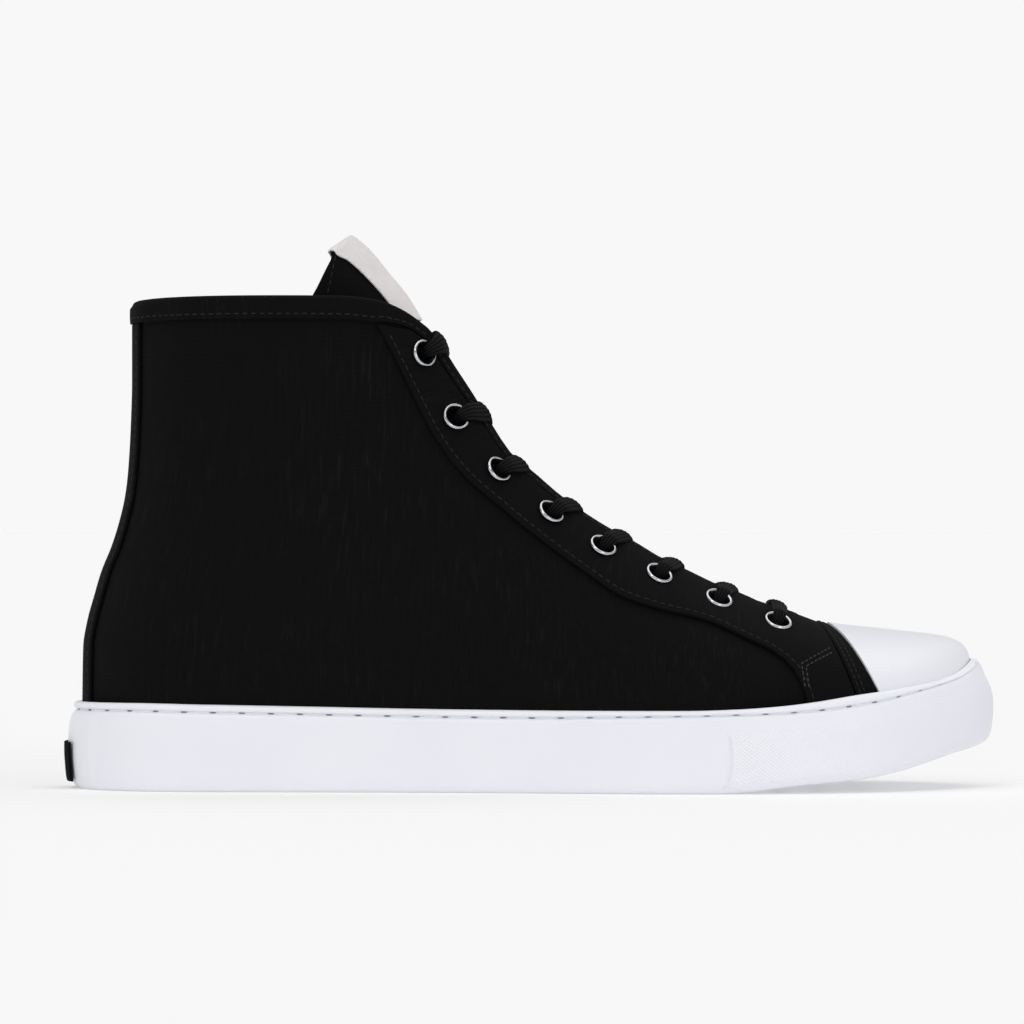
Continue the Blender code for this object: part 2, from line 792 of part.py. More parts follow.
def cap_rear(a, back=0.0):
    """Point of the cap's rear edge, from the rim (0) to the ridge (1), moved back along the shoe."""
    rim, ridge = CAP_REAR_RIM * SOLE_LENGTH, CAP_REAR_RIDGE * SOLE_LENGTH
    x = rim - 0.95 * (rim - ridge) * (a - a**CAP_REAR_ROUND / CAP_REAR_ROUND) - back
    return x, math.cos(a * math.pi / 2) ** (2 / SECTION_OUT)


def rear_point(a, side, back=0.0):
    x, out = cap_rear(a, back)
    y = middle(x) + side * base_width(x, side) * out
    return np.array([x, y, skin_z(x, y, side)])


def make_cap():
    steps, levels = 10, 7
    last = SOLE_LENGTH - UPPER_TOE_INSET
    start = CAP_REAR_RIM * SOLE_LENGTH
    grid, sides = [], []
    turns = [(k / steps, -1) for k in range(steps + 1)] + [(k / steps, 1) for k in reversed(range(steps))]
    for a, side in turns:
        x0 = start + (last - start) * math.sin(a * math.pi / 2) ** 2
        y0 = middle(x0) + side * base_width(x0, side)
        x1, y1, z1 = rear_point(a, side)
        line = [np.array([x0, y0, base_z(x0) - SKIRT])]
        for k in range(levels + 1):
            r = (1 - math.cos(k / levels * math.pi / 2.2)) / (1 - math.cos(math.pi / 2.2))
            x, y = x0 + (x1 - x0) * r, y0 + (y1 - y0) * r
            line.append(np.array([x, y, skin_z(x, y, side) if k else base_z(x0)]))
        grid.append(line)
        sides.append([side] * len(line))
    outer = np.array(grid)
    normal = normals_of(outer, False)
    if normal[steps, 1, 0] < 0:
        normal = -normal
    normal[0] = normal[-1] = 0
    for end, side in ((0, -1), (-1, 1)):
        for k, point in enumerate(grid[end]):
            normal[end, k] = outward_at(point, side)
    rows, columns = outer.shape[:2]
    points = list((outer + normal * (LAY + CAP_THICK)).reshape(-1, 3)) + list((outer + normal * LAY).reshape(-1, 3))
    return add_solid("toe_cap", points, shell_faces(rows, columns, False), (0.80, 0.81, 0.83), 0.45)


def make_band():
    steps = 10
    grid, sides = [], []
    turns = [(k / steps, -1) for k in range(steps + 1)] + [(k / steps, 1) for k in reversed(range(steps))]
    for side in (-1, 1):
        foot = []
        for back in (LAY, LAY + BAND_RIM):
            x, out = cap_rear(0.0, back)
            foot.append(np.array([x, middle(x) + side * base_width(x, side), base_z(x) - SKIRT]))
        line = []
        for a, which in turns:
            if which == side:
                wide = BAND_RIM + (BAND_RIDGE - BAND_RIM) * a
                line.append([rear_point(a, side, LAY), rear_point(a, side, LAY + wide)])
        if side < 0:
            grid += [foot] + line
            sides += [[-1, -1]] * (len(line) + 1)
        else:
            grid += line + [foot]
            sides += [[1, 1]] * (len(line) + 1)
    return patch("toe_band", grid, sides, LAY, LAY + FACING, (0.012, 0.012, 0.013), 0.9)


def make_facing(name, side):
    columns = 7
    grid = []
    outer_x, outer_z = curve(FACING_THROAT, 1), curve(FACING_THROAT, 2)
    for share in edge_shares():
        x = ring_x(share, UPPER_HEEL_INSET, UPPER_TOE_INSET) / SOLE_LENGTH
        if x < FACING_THROAT[0][0]:
            continue
        inner = below_edge(side * share, tape_height(share) + SEAM_GAP)
        outer = skin_at(outer_x(x) * SOLE_LENGTH, outer_z(x) * UPPER_HEIGHT, side)
        grid.append([onto_skin(inner + (outer - inner) * k / columns, side) for k in range(columns + 1)])
    for row, (a, outer_x, outer_z) in enumerate(FACING_FOOT):
        wide = BAND_RIM + (BAND_RIDGE - BAND_RIM) * a
        inner = rear_point(a, side, LAY + SEAM_GAP + wide)
        if row == len(FACING_FOOT) - 1:
            inner[2] = base_z(inner[0]) - SKIRT
        outer = skin_at(outer_x * SOLE_LENGTH, outer_z * UPPER_HEIGHT, side)
        grid.append([onto_skin(inner + (outer - inner) * k / columns, side) for k in range(columns + 1)])
    sides = [[side] * (columns + 1)] * len(grid)
    return patch(name, grid, sides, LAY + SEAT, LAY + SEAT + FACING, (0.011, 0.011, 0.012), 0.9)


def make_binding():
    shares = edge_shares()
    line = [(-f) for f in reversed(shares)] + shares[1:]
    inside = -CLOTH - LAY
    rows = []
    for u in line:
        side = -1 if u < 0 else 1
        top, along, normal, down = edge_frame(u)
        low = below_edge(u, tape_height(u))
        out = outward_at(low, side)
        within = below_edge(u, TAPE_INSIDE)
        inward = outward_at(within, side)
        rows.append(
            [
                low + out * LAY,
                low + out * (LAY + TAPE),
                top - down * (GAP + TAPE) + normal * (LAY + TAPE),
                top - down * (GAP + TAPE) + normal * (inside - TAPE),
                within + inward * (inside - TAPE),
                within + inward * inside,
                top - down * GAP + normal * inside,
                top - down * GAP + normal * LAY,
            ]
        )
    count = 8
    points = [p for row in rows for p in row]
    faces = ring_faces(len(rows), count)
    first = (len(rows) - 1) * count
    for base, flip in ((0, False), (first, True)):
        for quad in ((0, 1, 2, 7), (2, 3, 6, 7), (3, 4, 5, 6)):
            face = tuple(base + q for q in quad)
            faces.append(tuple(reversed(face)) if flip else face)
    return add_solid("binding", points, faces, (0.014, 0.014, 0.015), 0.85)


def make_back_stay():
    top = TOP_LINE[0][1] * UPPER_HEIGHT - TAPE_HEIGHT - GAP
    start = base_z(UPPER_HEEL_INSET)
    half = STAY_WIDTH / 2
    columns = 4
    heights = [start - SKIRT] + [p[2] for p in rib(0.0, -1, UPPER_LEVELS)[1:] if p[2] < top - 5] + [top]
    grid, sides = [], []
    for side_share in [k / columns * 2 - 1 for k in range(columns + 1)]:
        side = -1 if side_share < 0 else 1
        aim = abs(side_share) * half
        x0 = UPPER_HEEL_INSET
        while base_width(x0, side) < aim:
            x0 += 0.01
        grid.append([np.array([x0 + lean(x0, z), skin_y(x0, z, side), z]) for z in heights])
        sides.append([side] * len(heights))
    return patch("back_stay", grid, sides, LAY, LAY + FACING, (0.012, 0.012, 0.013), 0.9)


def eyelet_place(k, side):
    x, z = EYELETS[k]
    point = skin_at(x * SOLE_LENGTH, z * UPPER_HEIGHT, side)
    return point, outward_at(point, side)


def throat_direction(k):
    """Unit direction down the row of eyelets at number k."""
    a, b = max(0, k - 1), min(len(EYELETS) - 1, k + 1)
    d = np.array(
        [(EYELETS[b][0] - EYELETS[a][0]) * SOLE_LENGTH, 0.0, (EYELETS[b][1] - EYELETS[a][1]) * UPPER_HEIGHT]
    )
    return d / np.linalg.norm(d)


def frame_round(normal, along):
    along = along - normal * along.dot(normal)
    along /= np.linalg.norm(along)
    return along, np.cross(normal, along)


def make_eyelet(name, k, side):
    point, normal = eyelet_place(k, side)
    first, second = frame_round(normal, throat_direction(k))
    profile = [
        (BORE_RADIUS, -CLOTH - 0.2),
        (BARREL_RADIUS, -CLOTH - 0.2),
        (BARREL_RADIUS, FLANGE_SEAT),
        (FLANGE_RADIUS, FLANGE_SEAT),
        (BORE_RADIUS + 0.6, FLANGE_SEAT + FLANGE_THICK),
    ]
    steps = 8
    points = []
    for radius, height in profile + [profile[0]]:
        for j in range(steps):
            turn = 2 * math.pi * j / steps
            points.append(point + normal * height + (first * math.cos(turn) + second * math.sin(turn)) * radius)
    return add_solid(name, points, ring_faces(len(profile) + 1, steps), (0.75, 0.76, 0.78), 0.25, 1.0)


def make_hole_cutter():
    """One cutter with a plug through each eyelet's place."""
    points, faces = [], []
    steps = 8
    for side in (-1, 1):
        for k in range(len(EYELETS)):
            point, normal = eyelet_place(k, side)
            first, second = frame_round(normal, throat_direction(k))
            base = len(points)
            for height in (-CLOTH - 3, LAY + FACING + 2):
                for j in range(steps):
                    turn = 2 * math.pi * j / steps
                    around = first * math.cos(turn) + second * math.sin(turn)
                    points.append(point + normal * height + around * HOLE_RADIUS)
            for j in range(steps):
                n = (j + 1) % steps
                faces.append((base + j, base + n, base + steps + n, base + steps + j))
            faces.append(tuple(base + j for j in reversed(range(steps))))
            faces.append(tuple(base + steps + j for j in range(steps)))
    cutter = add_solid("eyelet_cutter", points, faces, (1, 0, 0), 0.5, 0.0, False)
    cutter.hide_render = True
    cutter.display_type = "WIRE"
    return cutter


def cut(obj, cutter):
    modifier = obj.modifiers.new("cut", "BOOLEAN")
    modifier.operation = "DIFFERENCE"
    modifier.solver = "EXACT"
    modifier.object = cutter


def lace_route(k):
    """Middle line of one bar with its half width and half thickness, from the outer eyelet to the inner one."""
    thick = LACE_THICK / 2
    wide = LACE_WIDTH / 2
    over = FLANGE_SEAT + FLANGE_THICK
    halves = []
    for side in (-1, 1):
        point, normal = eyelet_place(k, side)
        edge, edge_normal, down = bar_edge(k, side)
        crest = edge + edge_normal * (LAY + TAPE) - down * (GAP + TAPE)
        away = (edge_normal - down) / np.linalg.norm(edge_normal - down)
        rest = crest + away * (thick + GAP + 0.8)
        toward = rest - point
        toward -= normal * toward.dot(normal)
        toward /= np.linalg.norm(toward)
        lift = over + GAP + thick + 0.5
        up = point + normal * lift + toward * 2.2
        halves.append(
            [
                (point - normal * 1.0, 1.5, 0.9),
                (point + normal * (over + 0.4), 1.5, 0.9),
                (up, wide * 0.75, thick),
                (rest, wide, thick),
            ]
        )
    a, b = halves[0][-1][0], halves[1][-1][0]
    out = np.cross(b - a, throat_direction(k))
    out /= np.linalg.norm(out)
    if out[0] < 0:
        out = -out
    arch = [(a + (b - a) * 0.5 + out * 0.8, wide, thick)]
    return halves[0] + arch + list(reversed(halves[1]))


def bar_edge(k, side):
    """Point of the opening's edge straight across from an eyelet, its outward normal and the way down from it."""
    place = eyelet_place(k, side)[0]
    along = throat_direction(k)
    low, high = sole_x(0.385 * SOLE_LENGTH), sole_x(0.80 * SOLE_LENGTH)
    for _ in range(40):
        mid = (low + high) / 2
        if (edge_point(side * mid) - place).dot(along) < 0:
            low = mid
        else:
            high = mid
    edge, along, normal, down = edge_frame(side * low)
    return edge, normal, down


def make_bar(name, k):
    route = lace_route(k)
    along = throat_direction(k)
    places = [np.array(r[0]) for r in route]
    points = []
    for i, (place, wide, thick) in enumerate(route):
        before, after = places[max(0, i - 1)], places[min(len(places) - 1, i + 1)]
        way = (after - before) / np.linalg.norm(after - before)
        across = along - way * along.dot(way)
        across /= np.linalg.norm(across)
        up = np.cross(way, across)
        for turn in (0, 60, 120, 180, 240, 300):
            c, q = math.cos(math.radians(turn)), math.sin(math.radians(turn))
            points.append(place + across * wide * c + up * thick * q / 0.866)
    faces = ring_faces(len(route), 6)
    last = (len(route) - 1) * 6
    faces.append(tuple(range(5, -1, -1)))
    faces.append(tuple(range(last, last + 6)))
    return add_solid(name, points, faces, (0.01, 0.01, 0.011), 0.8)


def make_label():
    """Sheet on the tongue's own faces, narrower toward its lower edge."""
    tongue = tongue_grid(8)
    rows = (0.12, 1.0, 2.0, 3.0, 3.87)
    grid = []
    for row in rows:
        reach = 2.9 - 0.8 * row / rows[-1]
        line = []
        for column in (4 - reach, 2, 3, 4, 5, 6, 4 + reach):
            r, c = int(row), int(column)
            fr, fc = row - r, column - c
            top = tongue[r, c] * (1 - fc) + tongue[r, c + 1] * fc
            low = tongue[r + 1, c] * (1 - fc) + tongue[r + 1, c + 1] * fc
            line.append(top * (1 - fr) + low * fr)
        grid.append(line)
    outer = np.array(grid)
    normal = normals_of(outer, False)
    if normal[0, 3, 0] < 0:
        normal = -normal
    rows, columns = outer.shape[:2]
    far = outer + normal * (LAY + SEAT + LABEL_THICK)
    near = outer + normal * (LAY + SEAT)
    points = list(far.reshape(-1, 3)) + list(near.reshape(-1, 3))
    return add_solid("tongue_label", points, shell_faces(rows, columns, False), (0.62, 0.61, 0.60), 0.7)


def make_heel_patch():
    """Plate round the back of the heel pad."""
    low, high = 2.6, 15.2
    full = half_width(HEEL_ROUND, -1, 0.0, 0.0, 0.0)
    columns, rows = 8, 2
    grid = []
    for j in range(columns + 1):
        y = PATCH_WIDTH * (j / columns - 0.5)
        back = power(1 - abs(y / full) ** HEEL_POWER, 1 / HEEL_POWER)
        line = []
        for i in range(rows + 1):
            z = low + (high - low) * i / rows
            share = z / (RIM[0][1] * WALL_HEIGHT - GROOVE_DROP)
            bulge = PAD_BULGE * pad_of(share)
            line.append((HEEL_ROUND - back * (HEEL_ROUND + bulge), y, z))
        grid.append(line)
    outer = np.array(grid)
    normal = normals_of(outer, False)
    if normal[4, 1, 0] > 0:
        normal = -normal
    rows, columns = outer.shape[:2]
    near = GAP + 0.15
    points = list((outer + normal * (near + PATCH_THICK)).reshape(-1, 3)) + list((outer + normal * near).reshape(-1, 3))
    return add_solid("heel_patch", points, shell_faces(rows, columns, False), (0.01, 0.012, 0.012), 0.5)


def make_tread_cutter():
    """Bars that cut the grooves across the tread, inside its margin."""
    points, faces = [], []
    for share in TREAD:
        x = share * SOLE_LENGTH
        top = bottom_z(share) + TREAD_DEPTH
        outer = middle(x) - half_width(x, -1, 0, TREAD_MARGIN, 4)
        inner = middle(x) + half_width(x, 1, 0, TREAD_MARGIN, 4)
        base = len(points)
        for z in (-5.0, top):
            for a, b in ((x, outer), (x + TREAD_WIDTH, outer), (x + TREAD_WIDTH, inner), (x, inner)):
                points.append((a, b, z))
        for quad in ((0, 3, 2, 1), (4, 5, 6, 7), (0, 1, 5, 4), (1, 2, 6, 5), (2, 3, 7, 6), (3, 0, 4, 7)):
            faces.append(tuple(base + q for q in quad))
    cutter = add_solid("tread_cutter", points, faces, (1, 0, 0), 0.5, 0.0, False)
    cutter.hide_render = True
    cutter.display_type = "WIRE"
    return cutter


pad_of = curve([(row[0], row[4]) for row in WALL_LEVELS], 1)


sole = make_sole()
cut(sole, make_tread_cutter())
make_heel_patch()
make_insole()
upper = make_upper()
outer_facing = make_facing("eyestay_lateral", -1)
inner_facing = make_facing("eyestay_medial", 1)
holes = make_hole_cutter()
for piece in (upper, outer_facing, inner_facing):
    cut(piece, holes)
make_cap()
make_band()
make_back_stay()
make_binding()
make_tongue()
make_label()
for number in range(len(EYELETS)):
    make_eyelet(f"eyelet_lateral_{number + 1}", number, -1)
    make_eyelet(f"eyelet_medial_{number + 1}", number, 1)
    make_bar(f"lace_bar_{number + 1}", number)
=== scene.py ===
# Right high top sneaker: the looks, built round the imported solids.
import json
import math

import bmesh
import bpy
import numpy as np
from mathutils import Matrix, Vector

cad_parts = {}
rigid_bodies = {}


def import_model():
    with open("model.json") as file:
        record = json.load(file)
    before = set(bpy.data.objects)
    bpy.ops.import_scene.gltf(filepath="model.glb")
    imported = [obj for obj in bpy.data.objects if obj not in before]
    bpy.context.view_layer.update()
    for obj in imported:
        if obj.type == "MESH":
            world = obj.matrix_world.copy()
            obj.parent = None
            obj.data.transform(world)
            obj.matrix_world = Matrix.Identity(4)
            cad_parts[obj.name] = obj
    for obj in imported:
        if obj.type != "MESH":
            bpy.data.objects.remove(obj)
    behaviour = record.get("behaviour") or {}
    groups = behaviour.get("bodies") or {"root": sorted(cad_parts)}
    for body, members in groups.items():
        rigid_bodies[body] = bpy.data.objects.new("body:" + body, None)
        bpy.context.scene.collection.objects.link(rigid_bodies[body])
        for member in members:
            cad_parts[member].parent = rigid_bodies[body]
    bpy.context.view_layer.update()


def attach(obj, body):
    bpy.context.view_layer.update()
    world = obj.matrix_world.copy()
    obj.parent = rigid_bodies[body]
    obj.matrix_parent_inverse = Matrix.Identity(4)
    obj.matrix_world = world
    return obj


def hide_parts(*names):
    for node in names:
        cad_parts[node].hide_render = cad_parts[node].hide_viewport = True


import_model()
mm = 0.001
print("frame loaded")

# The shoe's own sizes in millimetres, +X toward the toe, +Y toward the inner side, 0 at the heel's back.
soleLength = 300.0
ballHalf = 53.0
upperHeight = 159.0
wallHeight = 26.0
toeSpring = 14.0
toeRise = 5.9
humpStart = 0.8
humpWidth = 0.75
humpPower = 2.2
toeTurn = 8.0
heelRound = 42.0
toeRound = 75.0
heelLean = 16.8
soleThickHeel = 15.0
soleThickBall = 10.0
grooveDrop = 3.0
treadDepth = 1.8
treadWidth = 3.0
treadMargin = 9.0
padBulge = 1.7
panelStep = 0.5
clothThick = 1.8
facingThick = 1.0
capThick = 1.5
tapeThick = 0.8
tapeHeight = 6.3
tapeThroat = 3.4
tapeInside = 3.0
tapeRound = 1.4
tapeDrop = 0.3
seamGap = 0.8
tongueThick = 3.0
labelThick = 0.6
insoleThick = 4.0
gap = 0.3
lay = 0.55
seat = 0.2
cupGap = 0.6
cupInset = 2.2
cupToeInset = 7.0
skirt = 3.5
holeRadius = 3.25
patchWidth = 25.0
patchThick = 0.9
stayWidth = 26.0

# Where a change along the shoe starts and how far it takes, as shares of the length: the turn of the middle line,
# the room for back stay, facing and cap, the floor's thickness, the shaft's narrowing, the binding's width, and the
# panel's end.
turnFade = (0.4, 0.6)
stayFade = (0.03, 0.05)
footFade = (0.70, 0.07)
capFade = (0.80, 0.05)
floorFade = (0.2, 0.4)
shaftFade = (0.317, 0.183)
tapeFade = (0.31, 0.06)
panelFade = (0.85, 0.1)

# Binding over the back stay: how far it stands out more, and where that fades out, all in millimetres.
tapeLift = 0.8
tapeLiftFade = (9.0, 5.0)

# Stations round the sole for each side, and shares of the length where the heel pad and the panel end.
soleStations = 26
stationGap = 0.006
padEdges = (0.0255, 0.0275)
padBead = (0.0215, 0.0235, 0.0255, 0.0275, 0.0305)
panelEdges = (0.7065, 0.7095)
panelLine = (0.7035, 0.7065, 0.7095, 0.7130)

# Plan of the sole: share of the length, outer and inner half width as shares of the ball's half width.
planRows = [
    (0.000, 0.660, 0.655),
    (0.067, 0.685, 0.674),
    (0.150, 0.708, 0.698),
    (0.250, 0.736, 0.708),
    (0.350, 0.774, 0.670),
    (0.450, 0.853, 0.675),
    (0.550, 0.967, 0.769),
    (0.650, 1.062, 0.868),
    (0.717, 1.081, 0.891),
    (0.783, 1.055, 0.880),
    (0.850, 1.011, 0.860),
    (0.917, 0.949, 0.825),
    (0.967, 0.853, 0.791),
    (1.000, 0.755, 0.755),
]

# Underside: share of the length, share of the toe spring.
undersideRows = [
    (0.00, 0.0),
    (0.715, 0.0),
    (0.749, 0.043),
    (0.784, 0.130),
    (0.813, 0.195),
    (0.844, 0.245),
    (0.875, 0.300),
    (0.905, 0.405),
    (0.940, 0.610),
    (0.967, 0.770),
    (1.00, 0.90),
]

# Stitch groove of the sole: share of the length, how far it lies under the rim in millimetres.
grooveRows = [
    (0.00, 2.9),
    (0.50, 2.8),
    (0.62, 2.2),
    (0.70, 1.9),
    (0.78, 2.5),
    (0.86, 3.4),
    (0.89, 3.0),
    (0.915, 2.1),
    (0.935, 1.6),
    (0.96, 1.1),
    (1.00, 1.0),
]

# Rim of the sole: share of the length, height as a share of the wall's height.
rimRows = [
    (0.00, 1.084),
    (0.07, 1.090),
    (0.145, 1.076),
    (0.25, 1.056),
    (0.41, 1.026),
    (0.57, 1.016),
    (0.675, 1.017),
    (0.73, 1.035),
    (0.777, 1.070),
    (0.817, 1.122),
    (0.86, 1.197),
    (0.90, 1.255),
    (0.95, 1.336),
    (1.00, 1.381),
]

# Levels of the sole's wall: share of the way from the underside to the groove, insets at heel, side and toe,
# and how much of the heel pad and of the forefoot panel each level has.
wallLevels = [
    (0.000, 1.6, 2.0, 9.8, 0.00, 0.0),
    (0.045, 0.5, 0.8, 4.9, 0.10, 0.0),
    (0.130, 0.1, 0.2, 1.6, 0.55, 1.0),
    (0.270, 0.0, 0.0, 0.5, 0.80, 1.0),
    (0.500, 0.0, 0.0, 0.0, 1.00, 1.0),
    (0.680, 0.0, 0.0, 0.7, 1.00, 1.0),
    (0.840, 0.0, 0.0, 2.7, 0.75, 0.0),
    (0.955, 0.0, 0.0, 4.0, 0.20, 0.0),
    (1.000, 0.7, 0.7, 4.9, 0.00, 0.0),
]

# Lip above the groove: height above the groove as a share of its drop, insets at heel, side and toe.
lipLevels = [
    (0.04, 1.05, 1.05, 5.00),
    (0.10, 1.35, 1.35, 5.15),
    (0.18, 1.35, 1.35, 5.15),
    (0.24, 1.00, 1.00, 5.05),
    (0.30, 0.45, 0.45, 4.95),
    (0.38, 0.18, 0.18, 5.00),
    (0.52, 0.08, 0.08, 5.25),
    (0.70, 0.20, 0.20, 5.75),
    (0.86, 0.45, 0.45, 6.35),
    (0.96, 0.95, 0.95, 6.85),
    (1.00, 1.60, 1.60, 7.15),
    (1.00, 2.25, 2.25, 7.35),
    (0.97, 2.68, 2.68, 7.48),
    (0.70, 2.68, 2.68, 7.48),
]

# The upper stands inside the cup, with room for what lies on it: facing at the heel, cap at the toe.
upperHeelInset = cupInset + cupGap + lay + facingThick
upperToeInset = cupToeInset + cupGap + lay + capThick

# Top line of the upper: share of the length at the sole, height as a share of the upper's, and how much of
# the full half width the opening has there.
topLine = [
    (0.000, 0.9825, 1.00),
    (0.020, 0.9885, 1.00),
    (0.060, 0.9915, 1.00),
    (0.180, 0.994, 1.00),
    (0.275, 0.993, 1.00),
    (0.324, 0.984, 0.93),
    (0.350, 0.968, 0.81),
    (0.374, 0.942, 0.66),
    (0.388, 0.922, 0.585),
    (0.412, 0.855, 0.53),
    (0.433, 0.794, 0.505),
    (0.452, 0.735, 0.48),
    (0.471, 0.681, 0.455),
    (0.497, 0.639, 0.43),
    (0.527, 0.590, 0.395),
    (0.574, 0.530, 0.350),
    (0.606, 0.497, 0.325),
    (0.633, 0.466, 0.305),
    (0.664, 0.438, 0.285),
    (0.696, 0.409, 0.262),
    (0.724, 0.389, 0.245),
    (0.740, 0.375, 0.235),
]

# Ridge of the vamp ahead of the throat: share of the length, height as a share of the upper's.
ridgeRows = [
    (0.773, 0.360),
    (0.797, 0.339),
    (0.817, 0.326),
    (0.833, 0.321),
    (0.873, 0.313),
    (0.903, 0.307),
    (0.937, 0.303),
    (0.970, 0.302),
]

# Shaft: height as a share of the upper's, share of the full lean at the heel, width as a share of the base.
shaftRows = [
    (0.17, 0.00, 1.00),
    (0.29, 0.02, 0.99),
    (0.34, 0.10, 0.965),
    (0.39, 0.235, 0.935),
    (0.44, 0.38, 0.90),
    (0.49, 0.58, 0.87),
    (0.54, 0.735, 0.845),
    (0.59, 0.85, 0.825),
    (0.64, 0.915, 0.815),
    (0.74, 0.975, 0.81),
    (0.83, 1.00, 0.82),
    (1.00, 1.00, 0.86),
]

shaftEnd = 118.0 / 300.0
throatTurn = 222.0 / 300.0
throatEnd = 238.8 / 300.0
throatCurl = math.radians(80)
throatSpan = (0.385, 0.80)
collarEnd = 0.28
capStart = 255.0 / 300.0
sectionUp = 2.0
sectionOut = 1.9
toePower = 5.0
heelPower = 2.1
planPower = 2.2

# Tongue, from its top down: middle of the section and its edge (x, z) as shares of length and height, and half
# width at the edge as a share of the ball's half width.
tongueRows = [
    (0.3035, 1.1230, 0.2833, 1.0830, 0.400),
    (0.3190, 1.0980, 0.2760, 1.0560, 0.425),
    (0.3390, 1.0520, 0.2680, 1.0240, 0.445),
    (0.3610, 1.0010, 0.2590, 0.9870, 0.460),
    (0.3780, 0.9470, 0.2560, 0.9400, 0.470),
    (0.3950, 0.8900, 0.2900, 0.8350, 0.470),
    (0.4180, 0.8230, 0.3430, 0.7420, 0.465),
    (0.4480, 0.7310, 0.3900, 0.6540, 0.465),
    (0.4920, 0.6340, 0.4470, 0.5590, 0.485),
    (0.5680, 0.5240, 0.5400, 0.4580, 0.495),
    (0.6600, 0.4280, 0.6430, 0.3640, 0.495),
    (0.7450, 0.3560, 0.7300, 0.3050, 0.480),
    (0.8130, 0.3080, 0.8000, 0.2650, 0.440),
]
tongueWrap = [84, 84, 84, 84, 84, 82, 80, 78, 72, 66, 62, 58, 56]

# Eyelets from the top down: middle as shares of length and of the upper's height.
eyeletRows = [
    (0.3783, 0.8824),
    (0.4140, 0.7522),
    (0.4580, 0.6447),
    (0.5143, 0.5566),
    (0.5703, 0.4862),
    (0.6303, 0.4289),
    (0.6947, 0.3774),
    (0.7587, 0.3314),
]

# Facing from the top down: where its inner edge follows the opening (share of the length at the sole), then its
# outer edge as shares of length and height.
facingThroat = [
    (0.3640, 0.3310, 0.9420),
    (0.3770, 0.3360, 0.9250),
    (0.4000, 0.3477, 0.8820),
    (0.4210, 0.3697, 0.7975),
    (0.4420, 0.3930, 0.7145),
    (0.4650, 0.4233, 0.6377),
    (0.4950, 0.4637, 0.5692),
    (0.5270, 0.5000, 0.5130),
    (0.5700, 0.5520, 0.4400),
    (0.6070, 0.5950, 0.3880),
    (0.6400, 0.6330, 0.3640),
    (0.6800, 0.6800, 0.3420),
    (0.7200, 0.7230, 0.3060),
    (0.7670, 0.7500, 0.2820),
    (0.8530, 0.7650, 0.2620),
]

# Foot of the facing: how far up the band its front edge is (0 at the rim, 1 at the ridge), then its rear edge.
facingFootRows = [
    (0.850, 0.7690, 0.2540),
    (0.700, 0.7740, 0.2440),
    (0.575, 0.7777, 0.2330),
    (0.450, 0.7810, 0.2215),
    (0.325, 0.7837, 0.2100),
    (0.200, 0.7860, 0.2000),
    (0.100, 0.7873, 0.1912),
    (0.000, 0.7883, 0.1818),
    (0.000, 0.7893, 0.1604),
]

capRearRim = 259.1 / 300.0
capRearRidge = 243.4 / 300.0
capRearRound = 12.0
capRearPull = 0.95
bandRim = 6.4
bandRidge = 3.0

# Grooves of the tread, as shares of the length.
treadRows = [0.08, 0.13, 0.18, 0.23, 0.62, 0.665, 0.71, 0.755, 0.80, 0.845]


# A smooth function through one column of a table, with no overshoot.
def curve(rows, column):
    xs = np.array([row[0] for row in rows], float)
    ys = np.array([row[column] for row in rows], float)
    h = np.diff(xs)
    d = np.diff(ys) / h
    slope = np.zeros(len(xs))
    slope[0], slope[-1] = d[0], d[-1]
    for i in range(1, len(xs) - 1):
        if d[i - 1] * d[i] > 0:
            w1 = 2 * h[i] + h[i - 1]
            w2 = h[i] + 2 * h[i - 1]
            slope[i] = (w1 + w2) / (w1 / d[i - 1] + w2 / d[i])

    def value(x):
        x = min(max(float(x), xs[0]), xs[-1])
        i = min(int(np.searchsorted(xs, x, side="right")) - 1, len(h) - 1)
        t = (x - xs[i]) / h[i]
        return float(
            (1 + 2 * t) * (1 - t) ** 2 * ys[i]
            + t * (1 - t) ** 2 * h[i] * slope[i]
            + t * t * (3 - 2 * t) * ys[i + 1]
            + t * t * (t - 1) * h[i] * slope[i + 1]
        )

    return value


def smooth(t):
    t = min(max(t, 0.0), 1.0)
    return t * t * (3 - 2 * t)


# 0 up to start, then rising softly to 1 over span.
def fade(value, start, span):
    return smooth((value - start) / span)


def power(base, exponent):
    return max(base, 0.0) ** exponent


def unit(vector):
    return vector / np.linalg.norm(vector)


# Distances along a line of points, from 0 at its first one.
def distances(line):
    return np.concatenate([[0.0], np.cumsum(np.linalg.norm(np.diff(line, axis=0), axis=1))])


planOut, planIn = curve(planRows, 1), curve(planRows, 2)
underside = curve(undersideRows, 1)
rimShare = curve(rimRows, 1)
grooveUnder = curve(grooveRows, 1)
topHeight, topOpen = curve(topLine, 1), curve(topLine, 2)
shaftLean, shaftWidth = curve(shaftRows, 1), curve(shaftRows, 2)


# Y of the middle line, which turns inward toward the toe.
def middle(x):
    return toeTurn * fade(x / soleLength, *turnFade)


# How much of the full width is left at x, between the rounded ends of a ring inset by heel and toe.
def ends(x, heel, toe):
    last = soleLength - toe
    start = soleLength - toeRound
    back = max(0.0, (heelRound - x) / (heelRound - heel))
    front = max(0.0, (x - start) / (last - start))
    behind = power(1 - back**heelPower, 1 / heelPower)
    ahead = power(1 - front**planPower, 1 / planPower)
    return behind * ahead


# Half width of such a ring, which lies inside the sole's outline by an inset.
def halfWidth(x, side, heel, inset, toe):
    full = (planOut if side < 0 else planIn)(x / soleLength) * ballHalf
    return (full - inset) * ends(x, heel, toe)


def ringX(share, heel, toe):
    return heel + (soleLength - toe - heel) * share


def ringPoint(share, side, heel, inset, toe):
    x = ringX(share, heel, toe)
    return x, middle(x) + side * halfWidth(x, side, heel, inset, toe)


